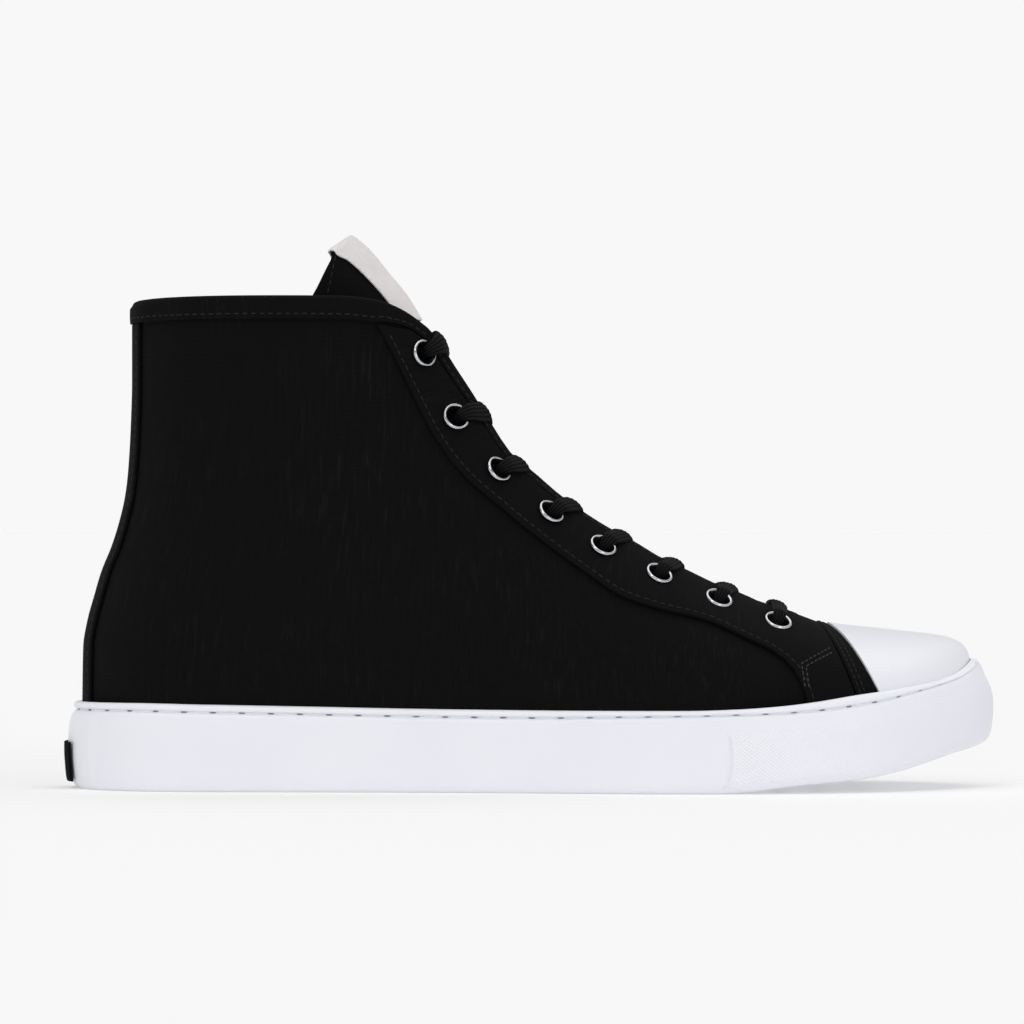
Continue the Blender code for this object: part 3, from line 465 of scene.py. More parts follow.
# Inset of the upper at the side: room for the back stay at the heel, and ahead for the facing's foot and the cap.
def upperInset(share):
    foot = fade(share, *footFade) + 1 - fade(share, *stayFade)
    cap = fade(share, *capFade)
    return cupInset + cupGap + (lay + facingThick) * foot + (capThick - facingThick) * cap


def bottomZ(share):
    return underside(share) * toeSpring


# Extra height of the rim round the toe's tip, where the ends leave less than a share of the width.
def toeHump(share):
    if share <= humpStart:
        return 0.0
    return toeRise * power(1 - (ends(share * soleLength, 0, 0) / humpWidth) ** 2, humpPower)


def rimZ(share):
    return rimShare(share) * wallHeight


def floorZ(share):
    thick = soleThickHeel + (soleThickBall - soleThickHeel) * fade(share, *floorFade)
    return bottomZ(share) + thick


# Shares of the length from heel to toe, close together at both ends, with extra ones at edges.
def stations(count, extra=()):
    base = [(1 - math.cos(math.pi * k / count)) / 2 for k in range(count + 1)]
    kept = [b for b in base if all(abs(b - e) > stationGap for e in extra)]
    return sorted(kept + list(extra))


# Stations all the way round: heel, outer side, toe, inner side.
def loopOf(shares):
    there = [(s, -1) for s in shares]
    back = [(s, 1) for s in reversed(shares[1:-1])]
    return there + back


# Middle of the whole shoe's box in plan, with the patch on the heel.
def footprintMiddle():
    shares = stations(soleStations, padEdges + panelEdges)
    steps = [-panelStep if s >= panelEdges[1] else 0.0 for s in shares]
    outer = min(ringPoint(s, -1, 0.0, step, 0.0)[1] for s, step in zip(shares, steps))
    inner = max(ringPoint(s, 1, 0.0, step, 0.0)[1] for s, step in zip(shares, steps))
    behind = padBulge + lay + patchThick
    return (soleLength - behind) / 2, (outer + inner) / 2


# Quads between closed rings of count points each, in order.
def ringFaces(rows, count):
    faces = []
    for r in range(rows - 1):
        for k in range(count):
            n = (k + 1) % count
            faces.append((r * count + k, r * count + n, (r + 1) * count + n, (r + 1) * count + k))
    return faces


# Quads across a ring that starts at point first, from each outer station to its inner partner.
def ladderFaces(first, shares, count, flip):
    last = len(shares) - 1
    faces = [(first, first + 1, first + count - 1)]
    for k in range(1, last - 1):
        faces.append((first + k, first + k + 1, first + count - k - 1, first + count - k))
    faces.append((first + last - 1, first + last, first + last + 1))
    return [tuple(reversed(f)) for f in faces] if flip else faces


# Half width of the upper at the sole's rim.
def baseWidth(x, side):
    return halfWidth(x, side, upperHeelInset, upperInset(x / soleLength), upperToeInset)


def baseZ(x):
    return rimZ((x - upperHeelInset) / (soleLength - upperToeInset - upperHeelInset))


# The shaft's width at height z as a share of its base, fading out over the vamp.
def narrowing(x, z):
    return 1 - (1 - shaftWidth(z / upperHeight)) * (1 - fade(x / soleLength, *shaftFade))


# How far forward the shaft has moved at height z above the place x of its base.
def lean(x, z):
    return heelLean * shaftLean(z / upperHeight) * max(0.0, 1 - x / (shaftEnd * soleLength))


def topZ(x):
    return topHeight(x / soleLength) * upperHeight


# One over the height from rim to virtual ridge at x, where the opening's edge is on the section.
def closing(x):
    openShare = topOpen(x / soleLength)
    return power(1 - openShare**sectionOut, 1 / sectionUp) / (topZ(x) - baseZ(x))


turnX = throatTurn * soleLength
turnRidge = (baseZ(turnX) + 1 / closing(turnX)) / upperHeight
ridgeShare = curve([(throatTurn, turnRidge)] + ridgeRows, 1)


# One over the height from rim to ridge at x, all along the shoe.
def inverseHeight(x):
    if x <= turnX:
        return closing(x)
    last = soleLength - upperToeInset
    start = capStart * soleLength
    front = max(0.0, (x - start) / (last - start))
    tall = (ridgeShare(x / soleLength) * upperHeight - baseZ(x)) * power(1 - front**toePower, 1 / toePower)
    return 1 / max(tall, 1e-3)


# Y of the upper's outer face where the base is at x and the height is z.
def skinY(x, z, side):
    rise = max(0.0, z - baseZ(x)) * inverseHeight(x)
    share = power(1 - rise**sectionUp, 1 / sectionOut)
    return middle(x) + side * baseWidth(x, side) * narrowing(x, z) * share


# Height of the vamp over a place in plan.
def skinZ(x, y, side):
    width = baseWidth(x, side)
    share = min(1.0, abs(y - middle(x)) / max(width, 1e-6))
    return baseZ(x) + power(1 - share**sectionOut, 1 / sectionUp) / inverseHeight(x)


# Points of the upper's outer face from the rim to its top edge, at one station.
def rib(share, side, levels):
    x0 = ringX(share, upperHeelInset, upperToeInset)
    low = baseZ(x0)
    found = []
    if x0 <= turnX:
        top = topZ(x0)
        end = math.asin(min(0.999, (top - low) * closing(x0)))
        for s in levels:
            z = low + (top - low) * (math.sin(end * s) / math.sin(end) if end > 1e-3 else s)
            found.append((x0 + lean(x0, z), skinY(x0, z, side), z))
        return found
    y0 = middle(x0) + side * baseWidth(x0, side)
    angle = throatAngle(x0)
    reach = baseWidth(turnX, side) * topOpen(throatTurn)
    x1 = turnX + (throatEnd * soleLength - turnX) * math.sin(angle)
    y1 = middle(x1) + side * reach * math.cos(angle)
    for s in levels:
        r = (1 - math.cos(throatCurl * s)) / (1 - math.cos(throatCurl))
        x = x0 + (x1 - x0) * r
        y = y0 + (y1 - y0) * r
        found.append((x, y, max(low, skinZ(x, y, side)) if s > 0 else low))
    return found


# Where on the rounded end of the throat the rib from x ends.
def throatAngle(x):
    last = soleLength - upperToeInset
    return math.asin(math.sqrt(min(1.0, max(0.0, (x - turnX) / (last - turnX)))))


# Where the rib through the upper's base at x starts, as a share of the upper's ring.
def soleX(x):
    return (x - upperHeelInset) / (soleLength - upperToeInset - upperHeelInset)


# X of the base under a place on the shaft, which leans forward.
def baseOf(x, z):
    end = shaftEnd * soleLength
    moved = heelLean * shaftLean(z / upperHeight)
    return max(upperHeelInset, (x - moved) / (1 - moved / end)) if x < end else x


# Point of the upper's outer face seen at x and z from its side.
def skinAt(x, z, side):
    return np.array([x, skinY(baseOf(x, z), z, side), z])


def halfAt(x, z, side):
    return abs(skinY(baseOf(x, z), z, side) - middle(baseOf(x, z)))


# Unit normal of the upper's outer face near a point, from the face's slopes.
def outwardAt(point, side):
    x, y, z = point
    step = 0.3
    start = baseOf(x, z)
    over = abs(y - middle(x)) < 0.5 * baseWidth(start, side) * narrowing(start, z)
    if over and start > shaftEnd * soleLength and z > baseZ(x) + 1:
        byX = (skinZ(x + step, y, side) - skinZ(x - step, y, side)) / (2 * step)
        byY = (skinZ(x, y + step, side) - skinZ(x, y - step, side)) / (2 * step)
        n = np.array([-byX, -byY, 1.0])
    else:
        byX = (halfAt(x + step, z, side) - halfAt(x - step, z, side)) / (2 * step)
        byZ = (halfAt(x, z + step, side) - halfAt(x, z - step, side)) / (2 * step)
        turn = side * (middle(x + step) - middle(x - step)) / (2 * step)
        n = np.array([-byX - turn, side if abs(y - middle(x)) > 0.01 else 0.0, -byZ])
    return unit(n)


# Moves a point near the upper onto its outer face: sideways on the walls, down or up on the vamp.
def ontoSkin(point, side):
    x, y, z = point
    start = baseOf(x, z)
    width = baseWidth(start, side) * narrowing(start, z)
    if abs(y - middle(x)) > 0.5 * width or start <= shaftEnd * soleLength:
        return skinAt(x, z, side)
    return np.array([x, y, skinZ(x, y, side)])


# Point of the opening's edge: u runs from -1 at the throat's end along the outer side to 0 at the heel.
def edgePoint(u):
    side = -1 if u < 0 else 1
    return np.array(rib(min(1.0, abs(u)), side, [1.0])[0])


# Edge point, outward normal, and the way down the upper from the edge.
def edgeFrame(u):
    side = -1 if u < 0 else 1
    step = 0.002
    along = unit(edgePoint(u + step) - edgePoint(u - step))
    top, below = np.array(rib(min(1.0, abs(u)), side, [1.0, 0.97]))
    down = below - top
    down = unit(down - along * down.dot(along))
    return top, np.cross(along, down), down


# Point on the upper's outer face a distance under the opening's edge.
def belowEdge(u, distance):
    side = -1 if u < 0 else 1
    x = ringX(min(1.0, abs(u)), upperHeelInset, upperToeInset)
    if x < collarEnd * soleLength:
        z = topZ(x) - distance
        return np.array([x + lean(x, z), skinY(x, z, side), z])
    top, _, down = edgeFrame(u)
    return ontoSkin(top + down * distance, side)


# How far the binding reaches down from the opening's edge: full at the collar, narrower along the throat.
def tapeReach(u):
    x = ringX(min(1.0, abs(u)), upperHeelInset, upperToeInset)
    return tapeHeight + (tapeThroat - tapeHeight) * fade(x / soleLength, *tapeFade)


# How far the binding stands out more where it passes over the back stay.
def tapeOver(u):
    x = ringX(min(1.0, abs(u)), upperHeelInset, upperToeInset)
    return tapeLift * (1 - fade(x, *tapeLiftFade))


# Point of the cap's rear edge, from the rim (0) to the ridge (1), moved back along the shoe.
def capRear(a, back=0.0):
    rim, ridge = capRearRim * soleLength, capRearRidge * soleLength
    x = rim - capRearPull * (rim - ridge) * (a - a**capRearRound / capRearRound) - back
    return x, math.cos(a * math.pi / 2) ** (2 / sectionOut)


def rearPoint(a, side, back=0.0):
    x, out = capRear(a, back)
    y = middle(x) + side * baseWidth(x, side) * out
    return np.array([x, y, skinZ(x, y, side)])


def eyeletPlace(k, side):
    x, z = eyeletRows[k]
    point = skinAt(x * soleLength, z * upperHeight, side)
    return point, outwardAt(point, side)


# Unit direction down the row of eyelets at number k.
def throatDirection(k):
    a, b = max(0, k - 1), min(len(eyeletRows) - 1, k + 1)
    (x0, z0), (x1, z1) = eyeletRows[a], eyeletRows[b]
    return unit(np.array([(x1 - x0) * soleLength, 0.0, (z1 - z0) * upperHeight]))


def frameRound(normal, along):
    along = unit(along - normal * along.dot(normal))
    return along, np.cross(normal, along)


# Point of the opening's edge straight across from an eyelet, its outward normal and the way down from it.
def barEdge(k, side):
    place = eyeletPlace(k, side)[0]
    along = throatDirection(k)
    low, high = (soleX(share * soleLength) for share in throatSpan)
    for _ in range(40):
        mid = (low + high) / 2
        if (edgePoint(side * mid) - place).dot(along) < 0:
            low = mid
        else:
            high = mid
    return edgeFrame(side * low)


padOf = curve(wallLevels, 4)


# Materials: colours are sRGB hex, turned to linear by one function.
def linear(code):
    parts = [int(code[k : k + 2], 16) / 255 for k in (1, 3, 5)]
    return tuple(c / 12.92 if c <= 0.04045 else ((c + 0.055) / 1.055) ** 2.4 for c in parts) + (1.0,)


# Adds one node with its settings, its links and its values: links maps a socket to (node, output).
def addNode(material, kind, settings=None, links=None, inputs=None):
    node = material.node_tree.nodes.new(kind)
    for key, value in (settings or {}).items():
        setattr(node, key, value)
    for key, value in (inputs or {}).items():
        node.inputs[key].default_value = value
    for key, (source, output) in (links or {}).items():
        material.node_tree.links.new(source.outputs[output], node.inputs[key])
    return node


# A new material with its shader and its place on the piece.
def newMaterial(name):
    material = bpy.data.materials.new(name)
    material.use_nodes = True
    return material, material.node_tree.nodes["Principled BSDF"], addNode(material, "ShaderNodeTexCoord")


# Noise with so many grains to the metre.
def addNoise(material, place, scale, detail):
    links = {"Vector": (place, "Object")}
    return addNode(material, "ShaderNodeTexNoise", None, links, {"Scale": scale, "Detail": detail})


# The wave's scale for bands of a width in millimetres: its phase grows by 20 for each unit.
def bandScale(width):
    return 1000 / width * 2 * math.pi / 20


def addWave(material, vector, way, scale, distortion, detail):
    settings = {"wave_type": "BANDS", "bands_direction": way}
    values = {"Scale": scale, "Distortion": distortion, "Detail": detail}
    return addNode(material, "ShaderNodeTexWave", settings, {"Vector": vector}, values)


# The map turned by an angle in degrees.
def addTurn(material, place, angle):
    values = {"Rotation": (0, 0, math.radians(angle))}
    return addNode(material, "ShaderNodeMapping", None, {"Vector": (place, "UV")}, values)


def addRange(material, value, limits, kind="LINEAR"):
    return addNode(material, "ShaderNodeMapRange", {"interpolation_type": kind}, {"Value": value}, limits), "Result"


# One step of arithmetic on numbers and (node, output) pairs.
def addMath(material, operation, *values):
    links = {k: value for k, value in enumerate(values) if isinstance(value, tuple)}
    numbers = {k: value for k, value in enumerate(values) if k not in links}
    return addNode(material, "ShaderNodeMath", {"operation": operation}, links, numbers), "Value"


# A colour between two hex codes.
def addTint(material, factor, first, second):
    tint = addNode(material, "ShaderNodeMix", {"data_type": "RGBA"}, {"Factor": factor})
    tint.inputs["A"].default_value = linear(first)
    tint.inputs["B"].default_value = linear(second)
    return tint


# Joins the colour and the bump, given as height, strength and depth in millimetres, and sets the shader's values.
def finishMaterial(material, shader, colour, bump, values):
    links = material.node_tree.links
    links.new(colour.outputs["Result"], shader.inputs["Base Color"])
    if bump:
        height, strength, depth = bump
        relief = {"Strength": strength, "Distance": depth * mm}
        node = addNode(material, "ShaderNodeBump", None, {"Height": height}, relief)
        links.new(node.outputs["Normal"], shader.inputs["Normal"])
    for key, value in values.items():
        if key == "Roughness" and isinstance(value, tuple):
            links.new(value[0].outputs[value[1]], shader.inputs[key])
        else:
            shader.inputs[key].default_value = value
    return material


clothValues = {
    "waves": 1.2, "weft": 0.8, "patch": 0.035, "slub": 900.0, "slubLength": 0.12,
    "shader": {
        "Roughness": 0.92, "Specular IOR Level": 0.04, "Sheen Weight": 0.02, "Sheen Roughness": 0.5,
        "Sheen Tint": (0.7, 0.7, 0.75, 1.0),
    },
}


# Woven black cotton: warp and weft threads as ridges, uneven dye, and slubs: thicker lengths of thread that catch
# the light as short upright dashes. That light is painted into the colour: the threads' crossings and the slubs are
# painted lighter as painted highlight, the gaps between the threads darker as painted shade.
def wovenCloth(name, dark, light, thread, slant):
    values = clothValues
    material, shader, place = newMaterial(name)
    spin = addTurn(material, place, slant), "Vector"
    scale = bandScale(thread)
    warp = addWave(material, spin, "X", scale, values["waves"], 2.0)
    weft = addWave(material, spin, "Y", scale * values["weft"], values["waves"], 2.0)
    weave = addMath(material, "MULTIPLY", (warp, "Fac"), (weft, "Fac"))
    longer = {"Scale": (1.0, values["slubLength"], 1.0)}
    stretch = addNode(material, "ShaderNodeMapping", None, {"Vector": spin}, longer)
    grains = {"Scale": values["slub"], "Detail": 3.0, "Roughness": 0.6}
    slub = addNode(material, "ShaderNodeTexNoise", None, {"Vector": (stretch, "Vector")}, grains)
    slubs = addRange(material, (slub, "Fac"), {"From Min": 0.52, "From Max": 0.72})
    area = addNoise(material, place, 1 / values["patch"], 3.0)
    patches = addRange(material, (area, "Fac"), {"From Min": 0.35, "From Max": 0.7})
    # where slubs meet the dye's patches the colour is lighter: real uneven dye with a painted highlight on the slubs
    both = addMath(material, "MULTIPLY", slubs, patches)
    colour = addTint(material, addMath(material, "MULTIPLY_ADD", weave, 0.25, both), dark, light)
    height = addMath(material, "MULTIPLY_ADD", slubs, 0.5, weave)
    return finishMaterial(material, shader, colour, (height, 0.45, 0.08), values["shader"])


# Canvas of about 16 threads to the centimetre, folded tape in a closer weave, and a lining on its bias.
canvasBlack = wovenCloth("black cotton canvas", "#0d0d0e", "#18181a", 0.62, 0.0)
tapeBlack = wovenCloth("black cotton tape", "#0d0d0e", "#1a1a1b", 0.5, 0.0)
liningBlack = wovenCloth("black cotton lining", "#101011", "#242426", 0.9, 35.0)

# Knurl: small diamonds between crossed bands, width and depth in millimetres; their ridges are also painted lighter,
# a painted highlight. Toward the toe they fade out: full and gone are places along the frame's X in metres.
knurlValues = {"width": 0.9, "angle": 54.0, "full": 0.070, "gone": 0.140, "depth": 0.30, "strength": 0.6}


# White or black rubber: moulded and matt, faintly uneven, knurled with crossed bands where asked, the knurl's ridges
# tinted toward white as a painted highlight.
def mouldedRubber(name, base, shade, roughness, shine=0.4, knurl=False):
    material, shader, place = newMaterial(name)
    cloudy = addNoise(material, place, 22.0, 4.0), "Fac"
    colour = addTint(material, addRange(material, cloudy, {"From Min": 0.3, "From Max": 0.75}), base, shade)
    bump = (addNoise(material, place, 1400.0, 2.0), "Fac"), 0.35, 0.02
    if knurl:
        values = knurlValues
        scale = bandScale(values["width"])
        crossed = []
        for angle in (values["angle"], -values["angle"]):
            spin = addTurn(material, place, angle), "Vector"
            crossed.append((addWave(material, spin, "X", scale, 0.0, 2.0), "Fac"))
        where = addNode(material, "ShaderNodeSeparateXYZ", None, {"Vector": (place, "Object")})
        limits = {"From Min": values["full"], "From Max": values["gone"], "To Min": 0.75, "To Max": 0.0}
        # the knurl's relief and its painted highlight fade out toward the toe
        worn = addRange(material, (where, "X"), limits)
        patchy = addRange(material, cloudy, {"From Min": 0.25, "From Max": 0.6, "To Min": 0.6})
        left = addMath(material, "MULTIPLY", worn, patchy)
        knurlAndHighlight = addMath(material, "MULTIPLY", addMath(material, "MULTIPLY", *crossed), left)
        # the ridges tinted toward white: painted highlight
        light = addTint(material, knurlAndHighlight, base, "#ffffff")
        material.node_tree.links.new(colour.outputs["Result"], light.inputs["A"])
        colour = light
        bump = knurlAndHighlight, values["strength"], values["depth"]
    rough = addRange(material, cloudy, {"To Min": roughness - 0.06, "To Max": roughness + 0.08})
    return finishMaterial(
        material, shader, colour, bump, {"Roughness": rough, "IOR": 1.5, "Specular IOR Level": shine}
    )


# The sole and the toe cap are one white rubber in two copies: the sole's is painted lighter and the cap's darker,
# painted light and shade that offset how the lamps fall on them.
rubberWhite = mouldedRubber("white moulded rubber", "#eeeff5", "#eaebf2", 0.46)
rubberCapShaded = mouldedRubber("white rubber of the toe cap, painted darker as shade", "#ebecf1", "#e6e8ee", 0.46)
rubberKnurled = mouldedRubber("white knurled rubber", "#edeef5", "#e8e9f1", 0.5, knurl=True)
rubberBlack = mouldedRubber("black moulded rubber", "#0b0c0c", "#101111", 0.85, 0.03)
# grey marks that stand for the shade inside the sole's needle holes: painted shade
rubberShaded = mouldedRubber("painted shade of a needle hole in rubber", "#74757c", "#a2a3ab", 0.9, 0.0)


# Nickel plated steel: bright and smooth on the rolled rim, with fine rubbing marks; a dark copy inside the barrel is
# painted shade.
def platedSteel(name, light, dark, smoothest, roughest):
    material, shader, place = newMaterial(name)
    rub = addNoise(material, place, 700.0, 4.0), "Fac"
    rough = addRange(material, rub, {"To Min": smoothest, "To Max": roughest})
    tone = addTint(material, rub, light, dark)
    return finishMaterial(material, shader, tone, None, {"Roughness": rough, "Metallic": 1.0})


steelPlated = platedSteel("nickel plated steel", "#d2d4d7", "#b2b5ba", 0.08, 0.20)
steelBarrelShade = platedSteel("steel painted dark as shade inside the barrel", "#3c3d40", "#26272a", 0.35, 0.5)


# Thread: fine fibres, each stitch a little uneven in tone.
def sewingThread(name, dark, light):
    material, shader, place = newMaterial(name)
    noise = addNoise(material, place, 2500.0, 2.0), "Fac"
    colour = addTint(material, noise, dark, light)
    values = {"Roughness": 0.7, "Specular IOR Level": 0.15}
    return finishMaterial(material, shader, colour, (noise, 0.5, 0.05), values)


threadBlack = sewingThread("black polyester thread", "#161617", "#2c2c2e")
# a paler copy of the black thread, for the stitches at the facing's foot
threadPaler = sewingThread("paler black polyester thread", "#232325", "#464649")
threadWhite = sewingThread("white polyester thread", "#e6e7ea", "#f4f4f6")

# Across the lace the ribs' width, along it the turns' length, both in millimetres.
braidValues = {"rib": 1.6, "turn": 0.9}


# Braided lace: ribs of fine yarn along a flat tube, each a row of slanted turns; the colour is darker between the
# ribs and between the turns, as painted shade.
def braidedLace():
    material, shader, place = newMaterial("black braided lace")
    parts = addNode(material, "ShaderNodeSeparateXYZ", None, {"Vector": (place, "UV")})
    across = addMath(material, "MULTIPLY", (parts, "Y"), 1000 / braidValues["rib"])
    rib = addMath(material, "PINGPONG", across, 0.5)
    ridge = addRange(material, rib, {"From Max": 0.42}, "SMOOTHSTEP")
    along = addMath(material, "MULTIPLY", (parts, "X"), 1000 / braidValues["turn"])
    turns = addMath(material, "PINGPONG", addMath(material, "ADD", along, rib), 0.5)
    yarn = addRange(material, turns, {"From Max": 0.5, "To Min": 0.55, "To Max": 1.0})
    rise = addMath(material, "MULTIPLY", ridge, yarn)
    # darker between ribs and turns: painted shade
    colour = addTint(material, rise, "#040404", "#1d1d1f")
    values = {"Roughness": 0.8, "Specular IOR Level": 0.06, "Sheen Weight": 0.01}
    return finishMaterial(material, shader, colour, (rise, 0.7, 0.15), values)


laceBlack = braidedLace()


# Woven label: satin white tape with fine ribs across, bare of any words.
def wovenLabel():
    material, shader, place = newMaterial("white woven satin tape")
    ribs = addWave(material, (place, "UV"), "X", bandScale(0.5), 0.6, 1.0)
    cloudy = addNoise(material, place, 120.0, 3.0), "Fac"
    colour = addTint(material, cloudy, "#d9d4d3", "#e3dfde")
    values = {"Roughness": 0.6, "Sheen Weight": 0.2}
    return finishMaterial(material, shader, colour, ((ribs, "Fac"), 0.5, 0.06), values)


labelWoven = wovenLabel()
print("materials made")

# Meshes: grids of points in the shoe's millimetres become pieces in the frame's metres.
footX, footY = footprintMiddle()


def toFrame(points):
    return (np.asarray(points, float) - np.array([footX, footY, 0.0])) * mm


# Selects the pieces for the next operator, the first one active.
def choose(pieces):
    bpy.ops.object.select_all(action="DESELECT")
    for piece in pieces:
        piece.select_set(True)
    if pieces:
        bpy.context.view_layer.objects.active = pieces[0]


def newPiece(name, points, faces, uvOfLoops, materials, faceMaterials=None, smoothAngle=40):
    mesh = bpy.data.meshes.new(name)
    mesh.from_pydata([tuple(p) for p in toFrame(points)], [], faces)
    layer = mesh.uv_layers.new(name="surface")
    layer.data.foreach_set("uv", np.asarray(uvOfLoops, float).ravel())
    for material in materials:
        mesh.materials.append(material)
    if faceMaterials is not None:
        mesh.polygons.foreach_set("material_index", np.asarray(faceMaterials, dtype=np.int32))
    mesh.update()
    piece = bpy.data.objects.new(name, mesh)
    bpy.context.collection.objects.link(piece)
    choose([piece])
    bpy.ops.object.shade_smooth_by_angle(angle=math.radians(smoothAngle))
    makeOutward(piece)
    return piece


# Distances along a grid's rows and columns, in metres, for a UV map with the real scale.
def gridLengths(grid, closed):
    rows, columns = grid.shape[:2]
    midColumn = grid[:, columns // 2]
    if closed:
        midColumn = np.vstack([midColumn, midColumn[:1]])
    return distances(midColumn) * mm, distances(grid[rows // 4]) * mm


# A body between an outer and an inner grid, with its UV map. Materials: 0 outside and at the edges, 1 inside.
def shellPiece(name, outer, inner, closed, materials, edgeRound=0.0, smoothAngle=40):
    outer, inner = np.asarray(outer, float), np.asarray(inner, float)
    rows, columns = outer.shape[:2]
    u, v = gridLengths(outer, closed)
    half = rows * columns
    faces, uvs, which = [], [], []

    def quad(corners, coords, material):
        faces.append(tuple(corners))
        uvs.extend(coords)
        which.append(material)

    for i in range(rows if closed else rows - 1):
        n = (i + 1) % rows
        for j in range(columns - 1):
            a, b = i * columns + j, n * columns + j
            square = [(u[i], v[j]), (u[i + 1], v[j]), (u[i + 1], v[j + 1]), (u[i], v[j + 1])]
            quad((a, b, b + 1, a + 1), square, 0)
            turned = [square[0], square[3], square[2], square[1]]
            quad((half + a, half + a + 1, half + b + 1, half + b), turned, 1)
        for j, flip in ((0, False), (columns - 1, True)):
            a, b = i * columns + j, n * columns + j
            line = [(u[i], v[j]), (u[i], v[j] + 0.001), (u[i + 1], v[j] + 0.001), (u[i + 1], v[j])]
            corners = [a, half + a, half + b, b]
            if flip:
                corners, line = corners[::-1], line[::-1]
            quad(corners, line, 0)
    if not closed:
        for j in range(columns - 1):
            for i, flip in ((0, True), (rows - 1, False)):
                a = i * columns + j
                line = [(u[i], v[j]), (u[i] + 0.001, v[j]), (u[i] + 0.001, v[j + 1]), (u[i], v[j + 1])]
                corners = [a, half + a, half + a + 1, a + 1]
                if flip:
                    corners, line = corners[::-1], line[::-1]
                quad(corners, line, 0)
    points = np.vstack([outer.reshape(-1, 3), inner.reshape(-1, 3)])
    piece = newPiece(name, points, faces, uvs, materials, which, smoothAngle)
    if edgeRound:
        roundEdges(piece, edgeRound)
    return piece


def makeOutward(piece):
    work = bmesh.new()
    work.from_mesh(piece.data)
    if work.calc_volume(signed=True) < 0:
        bmesh.ops.reverse_faces(work, faces=work.faces)
    work.to_mesh(piece.data)
    work.free()


def roundEdges(piece, width):
    bevel = piece.modifiers.new("edges", "BEVEL")
    bevel.width = width * mm
    bevel.segments = 2
    bevel.limit_method = "ANGLE"
    bevel.angle_limit = math.radians(50)
    bevel.use_clamp_overlap = True
    applyModifiers(piece)


def applyModifiers(piece):
    choose([piece])
    for modifier in list(piece.modifiers):
        bpy.ops.object.modifier_apply(modifier=modifier.name)


# Lets a piece ride on the shoe, in the place of the nodes it replaces.
def onShoe(piece, *nodes):
    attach(piece, "root")
    if nodes:
        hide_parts(*nodes)
    return piece


# A sheet that follows a grid of points on the upper between two heights above it.
def sheetOnSkin(name, grid, sides, low, high, materials, edgeRound=0.25):
    outer, inner = [], []
    for line, side in zip(grid, sides):
        normals = [outwardAt(p, side) for p in line]
        outer.append([p + n * (high + creaseAt(p, side)) for p, n in zip(line, normals)])
        inner.append([p + n * (low + creaseAt(p, side)) for p, n in zip(line, normals)])
    return shellPiece(name, outer, inner, False, materials, edgeRound)


# A line with so many evenly spaced points; further columns beside x, y and z go along.
def resample(line, count):
    line = np.asarray(line, float)
    steps = distances(line[:, :3])
    at = np.linspace(0, steps[-1], count)
    return np.stack([np.interp(at, steps, column) for column in line.T], axis=1)


# Soft creases of the worn-in canvas: middle x and z, direction in degrees, half length, half width, depth.
creases = [
    (62.0, 96.0, 12.0, 30.0, 7.0, -0.55),
    (70.0, 84.0, 20.0, 34.0, 8.0, 0.45),
    (100.0, 66.0, 38.0, 26.0, 6.0, -0.45),
    (118.0, 56.0, 45.0, 24.0, 6.5, 0.40),
    (44.0, 128.0, 78.0, 26.0, 9.0, -0.35),
    (80.0, 128.0, 98.0, 24.0, 9.0, 0.35),
    (196.0, 40.0, 72.0, 12.0, 5.0, -0.40),
    (176.0, 44.0, 60.0, 14.0, 6.0, 0.35),
]


# They lie further back on the inner side by a shift, and fade out over a start and a span in millimetres at the rim,
# under the opening, ahead of the heel and behind the toe.
creaseValues = {"shift": 6, "rim": (2, 14), "opening": (3, 14), "heel": (24, 18), "toe": (205, 20), "softness": 1.5}


# How far the canvas stands out at a point.
def creaseAt(point, side):
    values = creaseValues
    x, z = point[0] + (values["shift"] if side > 0 else 0), point[2]
    held = fade(z - baseZ(x), *values["rim"]) * fade(topZ(x) - z, *values["opening"])
    held *= fade(x, *values["heel"]) * (1 - fade(x, *values["toe"]))
    if held <= 0:
        return 0.0
    total = 0.0
    for midX, midZ, turn, long, wide, deep in creases:
        c, s = math.cos(math.radians(turn)), math.sin(math.radians(turn))
        a = ((x - midX) * c + (z - midZ) * s) / long
        b = (-(x - midX) * s + (z - midZ) * c) / wide
        if abs(a) < 2.5 and abs(b) < 2.5:
            total += deep * math.exp(-(a * a + b * b) * values["softness"])
    return total * held


# Upper: one hollow wall of canvas with a cotton lining, open at the collar, the throat and underneath.
upperValues = {"stations": 150, "levels": 54, "bends": (0.352, 0.358, 0.365, 0.371, 0.378, 0.385)}


def makeUpper():
    values = upperValues
    around = loopOf(stations(values["stations"], values["bends"]))
    levels = [k / values["levels"] for k in range(values["levels"] + 1)]
    outer, inner = [], []
    for share, side in around:
        column = [np.array(p) for p in rib(share, side, levels)]
        foot = column[0]
        low = floorZ(share) + gap
        line, back = [], []
        for k, point in enumerate([np.array([foot[0], foot[1], low])] + column):
            n = outwardAt(point, side)
            moved = creaseAt(point, side) if k else 0.0
            line.append(point + n * moved)
            inside = point - n * (clothThick - moved)
            if k == 0:
                inside[2] = low
            back.append(inside)
        outer.append(line)
        inner.append(back)
    return shellPiece("upper_canvas", outer, inner, True, [canvasBlack, liningBlack], 0.0, 60)


# Facings along the throat, which carry the eyelets.
facingValues = {"columns": 18, "rows": 72, "edgeRound": 0.3}


# Rows over the facing's foot, four between each two of the table's, with a mark on the last.
def facingFoot():
    rows = [(k, *row) for k, row in enumerate(facingFootRows)]
    columns = [curve([(r[0], r[c]) for r in rows], 1) for c in (1, 2, 3)]
    fine = [k / 4 for k in range(4 * (len(rows) - 1) + 1)]
    return [tuple(c(k) for c in columns) + (k == fine[-1],) for k in fine]


